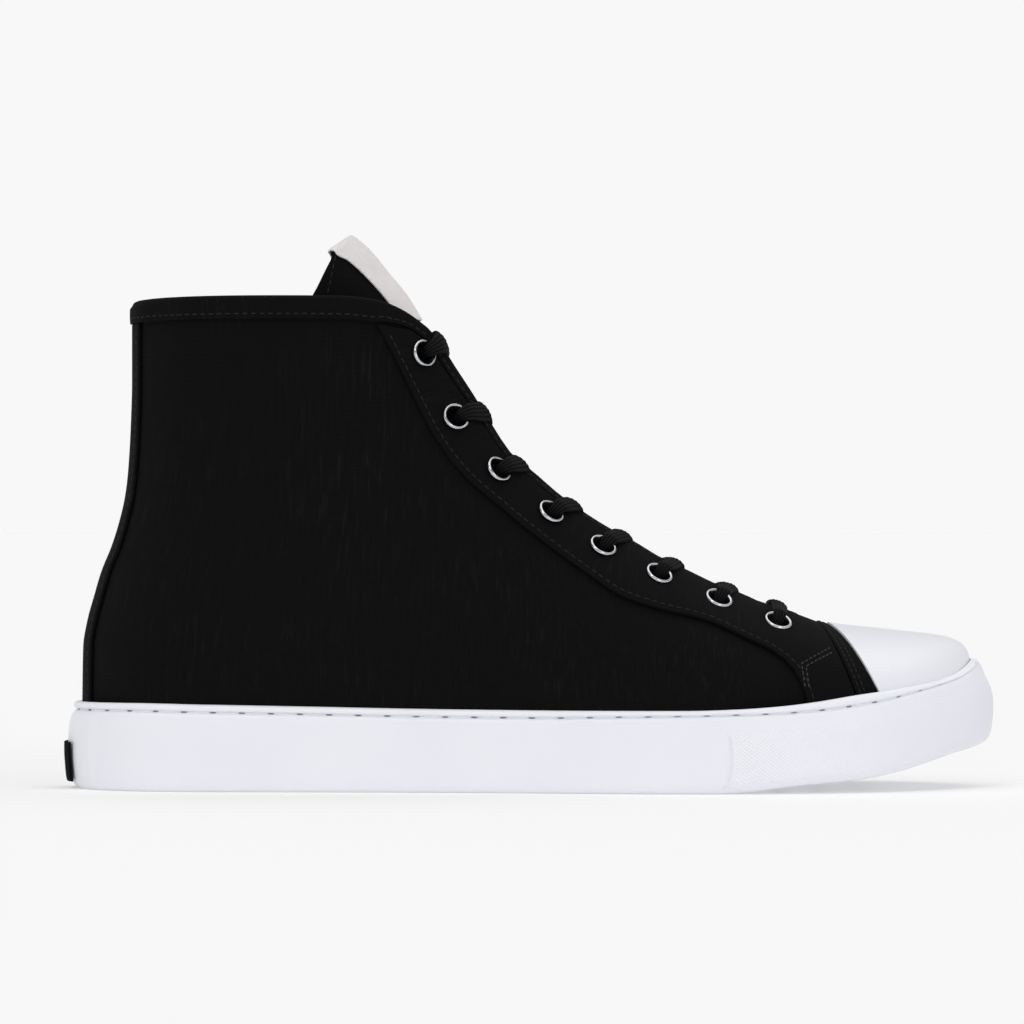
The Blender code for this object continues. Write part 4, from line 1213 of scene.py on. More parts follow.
def facingGrid(side):
    columns, rows = facingValues["columns"], facingValues["rows"]
    outerX, outerZ = curve(facingThroat, 1), curve(facingThroat, 2)
    first = soleX(facingThroat[0][0] * soleLength)
    last = soleX(facingThroat[-1][0] * soleLength)
    grid = []
    for k in range(rows + 1):
        share = first + (last - first) * k / rows
        x = ringX(share, upperHeelInset, upperToeInset) / soleLength
        near = belowEdge(side * share, tapeReach(share) + seamGap)
        far = skinAt(outerX(x) * soleLength, outerZ(x) * upperHeight, side)
        grid.append([ontoSkin(near + (far - near) * c / columns, side) for c in range(columns + 1)])
    for a, farX, farZ, isLast in facingFoot():
        wide = bandRim + (bandRidge - bandRim) * a
        near = rearPoint(max(a, 0.0), side, lay + seamGap + wide)
        if isLast:
            near[2] = baseZ(near[0]) - skirt
        far = skinAt(farX * soleLength, farZ * upperHeight, side)
        grid.append([ontoSkin(near + (far - near) * c / columns, side) for c in range(columns + 1)])
    return np.array(grid)


# Toe cap and the band behind it.
capValues = {"turns": 64, "levels": 44, "curl": math.pi / 2.2}


def capGrid():
    turns, levels = capValues["turns"], capValues["levels"]
    last = soleLength - upperToeInset
    start = capRearRim * soleLength
    curl = capValues["curl"]
    grid = []
    order = [(k / turns, -1) for k in range(turns + 1)] + [(k / turns, 1) for k in reversed(range(turns))]
    for a, side in order:
        x0 = start + (last - start) * math.sin(a * math.pi / 2) ** 2
        y0 = middle(x0) + side * baseWidth(x0, side)
        x1, y1, _ = rearPoint(a, side)
        line = [np.array([x0, y0, baseZ(x0) - skirt])]
        for k in range(levels + 1):
            r = (1 - math.cos(k / levels * curl)) / (1 - math.cos(curl))
            x, y = x0 + (x1 - x0) * r, y0 + (y1 - y0) * r
            line.append(np.array([x, y, skinZ(x, y, side) if k else baseZ(x0)]))
        grid.append(line)
    return np.array(grid)


# Unit normals of a grid, which look forward at the row and column given, or backward with way -1.
def gridNormals(grid, row, column, way=1):
    n = np.cross(np.gradient(grid, axis=0), np.gradient(grid, axis=1))
    n /= np.maximum(np.linalg.norm(n, axis=2, keepdims=True), 1e-9)
    return -n if n[row, column, 0] * way < 0 else n


def makeCap():
    grid = capGrid()
    normal = gridNormals(grid, len(grid) // 2, 1)
    for end, side in ((0, -1), (-1, 1)):
        for k, point in enumerate(grid[end]):
            normal[end, k] = outwardAt(point, side)
    outer = grid + normal * (lay + capThick)
    inner = grid + normal * lay
    return shellPiece("toe_cap_rubber", outer, inner, False, [rubberCapShaded, rubberCapShaded], 0.35)


bandValues = {"steps": 48, "behindCap": 0.12}


# The narrow band behind the cap, open at the ridge.
def makeBand():
    grid, sides = [], []
    steps, start = bandValues["steps"], bandValues["behindCap"]
    for side in (-1, 1):
        lines = []
        for k in range(steps + 1):
            a = k / steps
            wide = bandRim + (bandRidge - bandRim) * a
            lines.append([rearPoint(a, side, start + (wide + lay - start) * c / 4) for c in range(5)])
        foot = [np.array([p[0], p[1], p[2] - skirt]) for p in lines[0]]
        lines = [foot] + lines
        if side > 0:
            lines = lines[:-1][::-1]
        grid += lines
        sides += [side] * len(lines)
    return sheetOnSkin("toe_band_canvas", np.array(grid), sides, lay, lay + facingThick, [tapeBlack, tapeBlack])


# X where the upper's base has a half width, close behind the heel.
def stayX(width, side):
    low, high = upperHeelInset, upperHeelInset + 20
    for _ in range(30):
        mid = (low + high) / 2
        low, high = (mid, high) if baseWidth(mid, side) < width else (low, mid)
    return low


stayValues = {"columns": 24, "rows": 60, "underTape": 0.15}


def makeBackStay():
    start = baseZ(upperHeelInset)
    columns, rows = stayValues["columns"], stayValues["rows"]
    grid, sides = [], []
    for c in range(columns + 1):
        share = c / columns * 2 - 1
        side = -1 if share < 0 else 1
        low = stayX(abs(share) * stayWidth / 2, side)
        top = topZ(low) - tapeHeight - stayValues["underTape"]
        heights = [start - skirt + (top - start + skirt) * k / rows for k in range(rows + 1)]
        grid.append([np.array([low + lean(low, z), skinY(low, z, side), z]) for z in heights])
        sides.append(side)
    cloth = [tapeBlack, tapeBlack]
    return sheetOnSkin("back_stay_canvas", np.array(grid), sides, lay, lay + facingThick, cloth, 0.3)


# Binding folded over the edge of the opening, with a round top and a little bulge outside.
bindingValues = {"outer": 5, "round": 8, "inner": 3, "bulge": 0.12}


def bindingSections():
    values = bindingValues
    end = soleX(facingThroat[-1][0] * soleLength)
    shares = [s for s in stations(upperValues["stations"], upperValues["bends"]) if s < end - 0.003] + [end]
    inside = -clothThick - lay
    sections = []
    for u in [-s for s in reversed(shares)] + shares[1:]:
        side = -1 if u < 0 else 1
        top, normal, down = edgeFrame(u)
        low, within = belowEdge(u, tapeReach(u)), belowEdge(u, tapeInside)
        out, inward = outwardAt(low, side), outwardAt(within, side)
        shoulder = top + down * tapeDrop
        outerLow = low + out * (lay + tapeThick)
        outerTop = shoulder + normal * (lay + tapeThick)
        innerTop = shoulder + normal * (inside - tapeThick)
        innerLow = within + inward * (inside - tapeThick)
        mid, reach = (outerTop + innerTop) / 2, (outerTop - innerTop) / 2
        over = tapeOver(u)
        outerLow, outerTop = outerLow + out * over, outerTop + normal * over
        section = [low + out * lay]
        for k in range(values["outer"]):
            t = k / values["outer"]
            section.append(outerLow + (outerTop - outerLow) * t + out * values["bulge"] * math.sin(math.pi * t))
        for k in range(values["round"] + 1):
            turn = math.pi * k / values["round"]
            section.append(mid + reach * math.cos(turn) - down * tapeRound * math.sin(turn))
        for k in range(values["inner"]):
            section.append(innerTop + (innerLow - innerTop) * (k + 1) / values["inner"])
        section += [within + inward * inside, top - down * gap + normal * inside, top - down * gap + normal * lay]
        sections.append(section)
    return np.array(sections)


# Corners of the map on the quads of ringFaces, from the map's places along the rings and from ring to ring.
def ringMap(along, levels):
    uvs = []
    for low, high in zip(levels, levels[1:]):
        for start, end in zip(along, along[1:]):
            uvs += [(start, low), (end, low), (end, high), (start, high)]
    return uvs


def makeBinding():
    sections = bindingSections()
    rows, count = sections.shape[:2]
    ring = sections[rows // 2]
    lengths, girth = distances(sections[:, 7]) * mm, distances(np.vstack([ring, ring[:1]])) * mm
    uvs = []
    for low, high in zip(lengths, lengths[1:]):
        for start, end in zip(girth, girth[1:]):
            uvs += [(low, start), (high, start), (high, end), (low, end)]
    faces = [(a, d, c, b) for a, b, c, d in ringFaces(rows, count)]
    faces += [tuple(range(count)), tuple(reversed(range((rows - 1) * count, rows * count)))]
    uvs += [(0.0, 0.0)] * (2 * count)
    return newPiece("binding_tape", sections.reshape(-1, 3), faces, uvs, [tapeBlack], None, 50)


# Sole: the wall in fine levels, with the heel pad, the forefoot panel, the groove and the lip.
soleValues = {
    "stations": 190, "levels": 26, "bead": 0.4, "line": 0.45,
    # levels beside the wall's ends, and the part of the wall that has the knurl
    "extra": {0.02, 0.045, 0.955, 0.98}, "knurl": (0.09, 0.80),
}


# Height of the stitch groove.
def grooveZ(share):
    return rimZ(share) + toeHump(share) - grooveUnder(share)


def makeSole():
    values = soleValues
    shares = stations(values["stations"], padBead + panelLine)
    around = loopOf(shares)
    columns = [curve(wallLevels, c) for c in range(1, 6)]
    steps = sorted({k / values["levels"] for k in range(values["levels"] + 1)} | values["extra"])
    rings = []
    for level in steps:
        heel, sideIn, toe, padPart, panelPart = (c(level) for c in columns)
        ring = []
        for share, side in around:
            out = padBulge * padPart if share <= padEdges[0] else 0.0
            lift = panelStep * panelPart * (1 - fade(share, *panelFade)) if share >= panelEdges[1] else 0.0
            if share == panelEdges[0]:
                lift = -values["line"] * panelPart
            if share == padEdges[0]:
                lift = values["bead"] * padPart
            x, y = ringPoint(share, side, heel - out, sideIn - lift, toe)
            low = bottomZ(share)
            ring.append((x, y, low + level * (grooveZ(share) - low)))
        rings.append(ring)
    groovePath = rings[-1]
    for level, heel, sideIn, toe in lipLevels:
        ring = []
        for share, side in around:
            x, y = ringPoint(share, side, heel, sideIn, toe)
            ring.append((x, y, grooveZ(share) + level * grooveUnder(share)))
        rings.append(ring)
    rings.append([(*ringPoint(share, side, *lipLevels[-1][1:]), floorZ(share)) for share, side in around])
    count = len(around)
    grid = np.array(rings)
    points = grid.reshape(-1, 3)
    outline = grid[len(steps) // 2]
    u = distances(np.vstack([outline, outline[:1]])[:, :2]) * mm
    v = distances(grid[:, count // 4]) * mm
    faces, uvs = ringFaces(len(rings), count), ringMap(u, v)
    low, high = values["knurl"]
    start = panelEdges[1] - 1e-6
    inPanel = [a > start and b > start for (a, _), (b, _) in zip(around, around[1:] + around[:1])]
    knurled = [low < level < high for level in steps] + [False] * len(lipLevels)
    which = [int(row and part) for row in knurled for part in inPanel]
    caps = ladderFaces(0, shares, count, True) + ladderFaces((len(rings) - 1) * count, shares, count, False)
    flat = toFrame(points)[:, :2]
    uvs += [tuple(flat[k]) for face in caps for k in face]
    which += [0] * len(caps)
    piece = newPiece("sole_rubber", points, faces + caps, uvs, [rubberWhite, rubberKnurled], which, 45)
    return piece, groovePath


def joinPieces(pieces):
    choose(pieces)
    bpy.ops.object.join()
    return bpy.context.object


treadValues = {"below": 5.0, "toe": 4.0}


# The grooves across the tread are cut with bars, as the mould's ribs make them.
def makeTreadCutters():
    below, toe = treadValues["below"], treadValues["toe"]
    heelIn, toeIn = wallLevels[0][1], wallLevels[0][3]
    bars = []
    for share in treadRows:
        x = share * soleLength + treadWidth / 2
        top = bottomZ((x - heelIn) / (soleLength - heelIn - toeIn)) + treadDepth
        outer = middle(x) - halfWidth(x, -1, 0, treadMargin, toe)
        inner = middle(x) + halfWidth(x, 1, 0, treadMargin, toe)
        choose([])
        place = toFrame([x, (outer + inner) / 2, (top - below) / 2])
        bpy.ops.mesh.primitive_cube_add(size=1, location=tuple(place))
        bar = bpy.context.object
        bar.scale = (treadWidth * mm, (inner - outer) * mm, (top + below) * mm)
        bpy.ops.object.transform_apply(location=True, rotation=True, scale=True)
        bars.append(bar)
    return joinPieces(bars)


def cutWith(piece, cutter):
    cut = piece.modifiers.new("cut", "BOOLEAN")
    cut.operation = "DIFFERENCE"
    cut.solver = "EXACT"
    cut.object = cutter
    applyModifiers(piece)


holeValues = {"sides": 28, "depth": 9.0, "out": 0.4}


# Pins through the upper and both facings, one for each eyelet.
def makeHoleCutter():
    values = holeValues
    cutters = []
    for side in (-1, 1):
        for k in range(len(eyeletRows)):
            point, normal = eyeletPlace(k, side)
            choose([])
            bpy.ops.mesh.primitive_cylinder_add(
                vertices=values["sides"], radius=holeRadius * mm, depth=values["depth"] * mm
            )
            pin = bpy.context.object
            turn = Vector(normal).to_track_quat("Z", "Y").to_matrix().to_4x4()
            pin.data.transform(Matrix.Translation(Vector(toFrame(point + normal * values["out"]))) @ turn)
            cutters.append(pin)
    return joinPieces(cutters)


# Insole: a moulded board with a woven cover. Levels: share of the thickness, how far the edge is drawn in there.
insoleValues = {
    "stations": 110, "room": 0.5, "toeRoom": 0.6, "levels": ((0.0, 0.0), (0.6, 0.0), (0.9, 0.4), (1.0, 1.4)),
}


def makeInsole():
    values = insoleValues
    shares = stations(values["stations"])
    around = loopOf(shares)
    count = len(around)
    points = []
    for level, inward in values["levels"]:
        more = clothThick + values["room"] + inward
        toe = upperToeInset + clothThick + values["toeRoom"] + inward
        for share, side in around:
            x, y = ringPoint(share, side, upperHeelInset + more, upperInset(share) + more, toe)
            points.append((x, y, floorZ(share) + gap + insoleThick * level))
    last = len(values["levels"]) - 1
    faces = ringFaces(last + 1, count) + ladderFaces(0, shares, count, True)
    faces += ladderFaces(last * count, shares, count, False)
    flat = toFrame(points)[:, :2]
    uvs = [tuple(flat[k]) for face in faces for k in face]
    return newPiece("insole_cover", points, faces, uvs, [liningBlack], None, 45)


# Tongue: folded canvas, a little padded, with the woven label sewn on its front.
tongueValues = {"columns": 44, "rows": 84}


# Point of the tongue's front: row runs down the table, across from -1 at the outer edge to 1 at the inner one.
def tonguePoint(row, across):
    x, z, edgeX, edgeZ, wide = (c(row) for c in tongueCurves)
    wrap = math.radians(tongueWrapCurve(row))
    x, edgeX, z, edgeZ = x * soleLength, edgeX * soleLength, z * upperHeight, edgeZ * upperHeight
    turn = wrap * across
    deep = (1 - math.cos(turn)) / (1 - math.cos(wrap))
    out = math.sin(turn) / math.sin(wrap)
    room = planIn(x / soleLength) / planOut(x / soleLength) if out > 0 else 1.0
    return np.array([x + (edgeX - x) * deep, middle(x) + wide * ballHalf * out * room, z + (edgeZ - z) * deep])


tongueCurves = [curve([(k, row[c]) for k, row in enumerate(tongueRows)], 1) for c in range(5)]
tongueWrapCurve = curve([(k, value) for k, value in enumerate(tongueWrap)], 1)


# Unit normal of a surface given as a function of row and across, looking forward.
def surfaceFrame(pointOf, row, across):
    step = 0.02
    a = pointOf(row + step, across) - pointOf(row - step, across)
    b = pointOf(row, across + step) - pointOf(row, across - step)
    n = unit(np.cross(a, b))
    return n if n[0] > 0 or (abs(n[0]) < 1e-6 and n[2] > 0) else -n


def makeTongue():
    rows, columns = tongueValues["rows"], tongueValues["columns"]
    last = len(tongueRows) - 1
    grid = np.array(
        [[tonguePoint(last * r / rows, 2 * c / columns - 1) for c in range(columns + 1)] for r in range(rows + 1)]
    )
    inner = grid - gridNormals(grid, 0, columns // 2) * tongueThick
    return shellPiece("tongue_canvas", grid, inner, False, [canvasBlack, liningBlack], 0.9, 50)


labelValues = {
    "bottom": 3.87, "near": 0.3, "behind": 7.0, "fold": 6, "foldUp": (0.5, 0.6), "rows": 44, "columns": 44,
}

# Width of the label down the tongue: row of the tongue's table, share of the tongue's width.
labelRows = [
    (0.00, 0.93),
    (0.60, 0.80),
    (1.20, 0.66),
    (2.15, 0.52),
    (3.30, 0.43),
    (3.87, 0.40),
]
labelReach = curve(labelRows, 1)


def labelPoint(down, across):
    row = labelValues["bottom"] * down
    return tonguePoint(row, across * labelReach(row))


# The label's middle surface: down the tongue's back, round its top edge, then down the front.
def labelGrid():
    values = labelValues
    rows, columns, fold = values["rows"], values["columns"], values["fold"]
    grid = []
    for r in range(-fold - 1, rows + 1):
        line = []
        for c in range(columns + 1):
            across = 2 * c / columns - 1
            point = labelPoint(max(r, 0) / rows, across)
            n = surfaceFrame(labelPoint, max(max(r, 0) / rows, 0.02), across)
            if r < 0:
                up = unit(point - labelPoint(0.05, across))
                turn = math.pi * min(-r, fold) / fold
                half = tongueThick / 2 + values["near"]
                base, more = values["foldUp"]
                point = point - n * (tongueThick / 2) + n * (half * math.cos(turn))
                point = point + up * (base + more * math.sin(turn))
                if r < -fold:
                    point = point - up * values["behind"]
            else:
                point = point + n * values["near"]
            line.append(point)
        grid.append(line)
    return np.array(grid)


def makeLabel():
    grid = labelGrid()
    outer = grid + gridNormals(grid, len(grid) // 2, labelValues["columns"] // 2) * labelThick
    return shellPiece("tongue_label_woven", outer, grid, False, [labelWoven, labelWoven], 0.15)


patchValues = {"low": 2.6, "high": 15.2, "columns": 40, "rows": 16, "behind": 0.15}


# Plain patch on the heel pad, which it follows.
def makeHeelPatch():
    low, high = patchValues["low"], patchValues["high"]
    full = halfWidth(heelRound, -1, 0.0, 0.0, 0.0)
    columns, rows = patchValues["columns"], patchValues["rows"]
    grid = []
    for j in range(columns + 1):
        y = patchWidth * (j / columns - 0.5)
        back = power(1 - abs(y / full) ** heelPower, 1 / heelPower)
        line = []
        for i in range(rows + 1):
            z = low + (high - low) * i / rows
            share = z / (rimRows[0][1] * wallHeight - grooveDrop)
            line.append((heelRound - back * (heelRound + padBulge * padOf(share)), y, z))
        grid.append(line)
    grid = np.array(grid)
    normal = gridNormals(grid, columns // 2, 1, -1)
    near = gap + patchValues["behind"]
    outer, inner = grid + normal * (near + patchThick), grid + normal * near
    return shellPiece("heel_patch_rubber", outer, inner, False, [rubberBlack, rubberBlack], 0.3)


# Eyelets: one rolled ring, modelled once from a circle and copied into the facings.
eyeletValues = {
    "sides": 40,
    "seat": lay + seat + facingThick,
    # how far each leans with its lace, in degrees, from the top eyelet down
    "tip": (13.0, 13.0, 12.0, 9.0, 3.0, -4.0, -8.0, -9.0),
    "lift": 0.3,
    # radius inside which the steel painted dark as shade shows, and the sheet's thickness
    "barrel": 3.5,
    "sheet": 0.12,
    # radius and height over the facing, from inside the barrel over the rolled rim and under it
    "profile": (
        (2.95, -3.2), (2.95, -1.8), (3.05, -1.0), (3.25, -0.4), (3.5, 0.2), (3.68, 0.55), (3.86, 0.74),
        (4.06, 0.8), (4.26, 0.66), (4.4, 0.4), (4.48, 0.12), (4.4, -0.02),
    ),
}


def makeEyelet():
    values = eyeletValues
    choose([])
    radius, height = values["profile"][0]
    bpy.ops.mesh.primitive_circle_add(vertices=values["sides"], radius=radius * mm, location=(0, 0, height * mm))
    ring = bpy.context.object
    bpy.ops.object.transform_apply(location=True, rotation=True, scale=True)
    bpy.ops.object.mode_set(mode="EDIT")
    bpy.ops.mesh.select_all(action="SELECT")
    for (lastRadius, lastHeight), (radius, height) in zip(values["profile"], values["profile"][1:]):
        bpy.ops.mesh.extrude_edges_move()
        grow = radius / lastRadius
        bpy.ops.transform.resize(value=(grow, grow, 1.0))
        bpy.ops.transform.translate(value=(0, 0, (height - lastHeight) * mm))
    bpy.ops.object.mode_set(mode="OBJECT")
    wall = ring.modifiers.new("wall", "SOLIDIFY")
    wall.thickness = values["sheet"] * mm
    wall.offset = -1.0
    bpy.ops.object.shade_smooth_by_angle(angle=math.radians(60))
    applyModifiers(ring)
    work = bmesh.new()
    work.from_mesh(ring.data)
    bmesh.ops.recalc_face_normals(work, faces=work.faces)
    work.to_mesh(ring.data)
    work.free()
    ring.data.materials.append(steelPlated)
    ring.data.materials.append(steelBarrelShade)
    # faces inside the barrel get the dark steel: painted shade
    for face in ring.data.polygons:
        reach = math.hypot(face.center.x, face.center.y)
        face.material_index = 1 if reach < values["barrel"] * mm else 0
    return ring


def placeEyelets():
    ring = makeEyelet()
    for side, word in ((-1, "lateral"), (1, "medial")):
        for k in range(len(eyeletRows)):
            point, normal = eyeletPlace(k, side)
            edge = barEdge(k, side)[0]
            toward = unit(edge - point - normal * (edge - point).dot(normal))
            base = point + normal * (eyeletValues["seat"] + eyeletValues["lift"])
            tip = math.radians(eyeletValues["tip"][k])
            normal = normal * math.cos(tip) + toward * math.sin(tip)
            first, second = frameRound(normal, throatDirection(k))
            turn = Matrix((first, second, normal)).transposed().to_4x4()
            copy = ring.copy()
            copy.data = ring.data.copy()
            copy.name = f"eyelet_ring_{word}_{k + 1}"
            bpy.context.collection.objects.link(copy)
            copy.data.transform(Matrix.Translation(Vector(toFrame(base))) @ turn)
            onShoe(copy, f"eyelet_{word}_{k + 1}")
    bpy.data.objects.remove(ring, do_unlink=True)


# Lace bars: flat braid from eyelet to eyelet, straight across, soft over the edges of the throat.
laceValues = {
    "steps": 96, "round": 72, "ribs": 5, "ribDepth": 0.24, "ribWide": 1.6, "wide": 4.3, "thick": 0.62, "rise": 0.05,
    # how far each bar bows toward the toe as it crosses, from the top bar down
    "bow": (-0.5, 3.4, 4.2, 4.4, 4.2, 3.6, 2.4, -0.8),
    # how much thicker each is where it is bunched, and how wide it lies
    "bunch": (1.6, 1.05, 1.1, 1.15, 1.25, 1.35, 1.45, 1.5),
    "spread": (1.0, 1.0, 0.98, 0.95, 0.88, 0.82, 0.78, 0.76),
    # how far a bar's flat side turns with its way, and over how many steps that way is averaged
    "follow": 0.5,
    "even": 4,
    # how deep the bar hangs between the edges, and how much lower than its middle its own edges lie
    "sag": 1.6,
    "crown": 0.9,
    # inside the barrel: along the eyelet's axis, toward the throat, half width, half thickness
    "barrel": ((-3.4, 0.6, 1.7, 0.8), (-1.0, 1.2, 1.7, 0.8), (1.85, 2.0, 2.1, 0.85)),
    # over the rim: over the facing, toward the throat at most, and as a share of the way to the edge
    "rim": ((1.0, 3.8, 0.5), (0.6, 5.8, 0.72)),
    "early": 0.42,
    "wobble": (0.10, 0.35, 1.7),
    # from a bar's middle to a place inside the shoe
    "inside": (-15.0, 0.0, -25.0),
}


# A Catmull-Rom curve through the points, evenly spaced.
def smoothLine(points, count):
    points = np.asarray(points, float)
    full = np.vstack([2 * points[0] - points[1], points, 2 * points[-1] - points[-2]])
    line = []
    for i in range(1, len(full) - 2):
        a, b, c, d = full[i - 1 : i + 3]
        for t in np.linspace(0, 1, 14, endpoint=False):
            bent = (2 * a - 5 * b + 4 * c - d) * t * t + (3 * b - a - 3 * c + d) * t**3
            line.append(0.5 * (2 * b + (c - a) * t + bent))
    line.append(full[-2])
    return resample(line, count)


# Middle line of a bar with its half width and half thickness: out of one eyelet, close over both edges of the
# throat, into the other eyelet.
def barPath(k):
    values = laceValues
    thick = values["thick"] * values["bunch"][k]
    wider = values["wide"] * values["spread"][k]
    down = throatDirection(k)
    bow = down * values["bow"][k]
    out = np.cross([0.0, 1.0, 0.0], down)
    out *= math.copysign(1.0, out[0] + out[2])
    clear = thick + values["rise"]
    wide, tall = clothThick / 2 + lay + tapeThick + clear, tapeRound + clear
    ends = []
    for side in (-1, 1):
        point, normal = eyeletPlace(k, side)
        edge, edgeNormal, edgeDown = barEdge(k, side)
        # over the binding's round top, grown by half the lace
        heart = edge - edgeNormal * (clothThick / 2) + edgeDown * tapeDrop
        turn = math.atan2(-tall * edgeDown.dot(out), wide * edgeNormal.dot(out))
        early, rest = (
            heart + edgeNormal * (wide * math.cos(angle)) - edgeDown * (tall * math.sin(angle))
            for angle in (turn * values["early"], turn)
        )
        toward = rest + bow - point
        toward -= normal * toward.dot(normal)
        far = np.linalg.norm(toward)
        toward /= far
        line = [(point + normal * up + toward * on, w, t) for up, on, w, t in values["barrel"]]
        sizes = (2.7, 0.85), (0.3 + 0.7 * wider, max(thick, 0.75))
        for (over, most, share), size in zip(values["rim"], sizes):
            up = eyeletValues["seat"] + over + thick
            line.append((point + normal * up + toward * min(most, share * far), *size))
        line += [(early + bow * 0.95, 0.9 * wider, thick), (rest + bow, wider, thick)]
        ends.append(line)
    a, b = ends[0][-1][0], ends[1][-1][0]
    span = []
    for t in (0.2, 0.5, 0.8):
        span.append((a + (b - a) * t - out * values["sag"] * math.sin(math.pi * t), wider, thick))
    route = ends[0] + span + list(reversed(ends[1]))
    return smoothLine([[*p, w, t] for p, w, t in route], values["steps"])


def makeBar(k):
    values = laceValues
    path = barPath(k)
    along = throatDirection(k)
    steps, around, ribs = len(path), values["round"], values["ribs"]
    places, widest = path[:, :3], path[:, 3].max()
    # the sections turn with the way averaged over a few steps, so that short bends don't twist them
    reach = values["even"]
    way = np.pad(np.gradient(places, axis=0), ((reach, reach), (0, 0)), mode="edge")
    way = np.stack([np.convolve(way[:, c], np.ones(2 * reach + 1), "valid") for c in range(3)], axis=1)
    way /= np.linalg.norm(way, axis=1, keepdims=True)
    size, pace, shift = values["wobble"]
    wobble = size * np.sin(np.arange(steps) * pace + k * shift)
    turns = [2 * math.pi * j / around for j in range(around)]
    flats = [math.cos(turn) for turn in turns]
    rises = [math.copysign(abs(math.sin(turn)) ** 0.9, math.sin(turn)) for turn in turns]
    points = []
    inside = places[steps // 2] + np.array(values["inside"])
    for i in range(steps):
        across = unit(along - way[i] * along.dot(way[i]) * values["follow"])
        up = np.cross(across, way[i])
        up /= math.copysign(np.linalg.norm(up), up.dot(places[i] - inside))
        wide, thick = path[i, 3], path[i, 4]
        crown = values["crown"] * (wide / widest) ** 3
        for flat, rise in zip(flats, rises):
            ridge = abs(math.sin(math.pi * (flat * 0.5 + 0.5) * ribs)) ** 0.6
            deep = values["ribDepth"] * (1 - ridge) * abs(rise)
            height = thick * rise - math.copysign(deep, rise) - crown * flat * flat
            points.append(places[i] + across * (wide * flat + wobble[i]) + up * height)
    # across the lace the map counts the ribs, on both faces
    girth = [(flat * 0.5 + 0.5) * ribs * values["ribWide"] * mm for flat in flats]
    girth.append(girth[0])
    lengths = distances(places) * mm
    faces, uvs = ringFaces(steps, around), []
    for start, end in zip(lengths, lengths[1:]):
        for low, high in zip(girth, girth[1:]):
            uvs += [(start, low), (start, high), (end, high), (end, low)]
    faces += [tuple(reversed(range(around))), tuple(range((steps - 1) * around, steps * around))]
    uvs += [(0.0, 0.0)] * (2 * around)
    return newPiece(f"lace_{k + 1}", points, faces, uvs, [laceBlack], None, 70)


# Stitches: one short rounded stitch, copied along each seam.
def stitchShape(sides=6, rings=4):
    points = []
    for i in range(rings + 1):
        x = -1 + 2 * i / rings
        r = math.sqrt(max(0.0, 1 - abs(x) ** 2.6)) if 0 < i < rings else 0.25
        for j in range(sides):
            turn = 2 * math.pi * j / sides
            points.append((x, r * math.cos(turn), r * math.sin(turn)))
    faces = ringFaces(rings + 1, sides)
    faces += [tuple(reversed(range(sides))), tuple(rings * sides + j for j in range(sides))]
    return np.array(points), faces


stitchPoints, stitchFaces = stitchShape()


# One piece of stitches: rows is a list of (line of points, line of normals), and each line gets its own evenly
# spaced stitches, with their ends drawn down.
def stitchRows(name, rows, pitch, length, thick, high, material, phase=0.5):
    points, faces = [], []
    along, sideways, upward = stitchPoints.T
    sagged = upward * high - np.abs(along) ** 3 * high * 0.6
    for line, normals in rows:
        line = np.asarray(line, float)
        both = resample(np.hstack([line, normals]), max(2, int(distances(line)[-1] / 0.4)))
        steps = distances(both[:, :3])
        total = steps[-1]
        count = max(1, int(round(total / pitch)))

        def placeAt(distance):
            return np.array([np.interp(distance, steps, column) for column in both.T])

        for k in range(count):
            at = (k + phase) * total / count
            place = placeAt(at)
            way = unit(placeAt(at + length / 2)[:3] - placeAt(at - length / 2)[:3])
            up = unit(place[3:] - way * place[3:].dot(way))
            body = place[:3] + np.outer(along * length / 2, way) + np.outer(sagged, up)
            body += np.outer(sideways * thick / 2, np.cross(up, way))
            first = len(points) * len(stitchPoints)
            points.append(body)
            faces += [tuple(first + q for q in face) for face in stitchFaces]
    uvs = np.zeros((sum(len(face) for face in faces), 2))
    onShoe(newPiece(name, np.vstack(points), faces, uvs, [material], None, 70))


# Where the seams run, in the shoe's millimetres.
seamValues = {
    "pitch": 2.75, "long": 2.1, "thick": 0.42, "high": 0.2, "over": 0.05,
    # how far in from its edge each seam runs; the binding's is nearer along the throat than at the collar
    "collar": 1.6, "throat": 1.1, "facing": 1.9, "band": (1.1, 2.6), "stay": 1.6, "tongue": 2.6,
}


# A line on the upper's face raised by a height, with its normals.
def seamOver(line, side, height):
    normals = [outwardAt(p, side) for p in line]
    height = height + seamValues["over"]
    return [p + n * (height + creaseAt(p, side)) for p, n in zip(line, normals)], normals


def blackRow(name, rows, pitch=None, length=None):
    values = seamValues
    pitch, length = pitch or values["pitch"], length or values["long"]
    stitchRows(name, rows, pitch, length, values["thick"], values["high"], threadBlack)


def sewUpper():
    collar, facings = [], []
    last = soleX(facingThroat[-1][0] * soleLength)
    for side in (-1, 1):
        # along the binding, in its lower part
        line, normals = [], []
        for k in range(181):
            u = side * max(1e-4, last * k / 180)
            reach = tapeReach(u)
            point = belowEdge(u, reach - seamValues["collar" if reach > 5 else "throat"])
            n = outwardAt(point, side)
            line.append(point + n * (lay + tapeThick + 0.08 + tapeOver(u)))
            normals.append(n)
        collar.append((line, normals))
        # inside the facing's outer edge, then beside the band
        grid = facingGrid(side)
        edge, before = grid[:, -1], grid[:, -2]
        inward = (before - edge) / np.linalg.norm(before - edge, axis=1, keepdims=True)
        line = [ontoSkin(p, side) for p in edge + inward * seamValues["facing"]][2:-1]
        facings.append(seamOver(line, side, lay + seat + facingThick))
    blackRow("stitches_binding", collar)
    blackRow("stitches_eyestay_edge", facings)


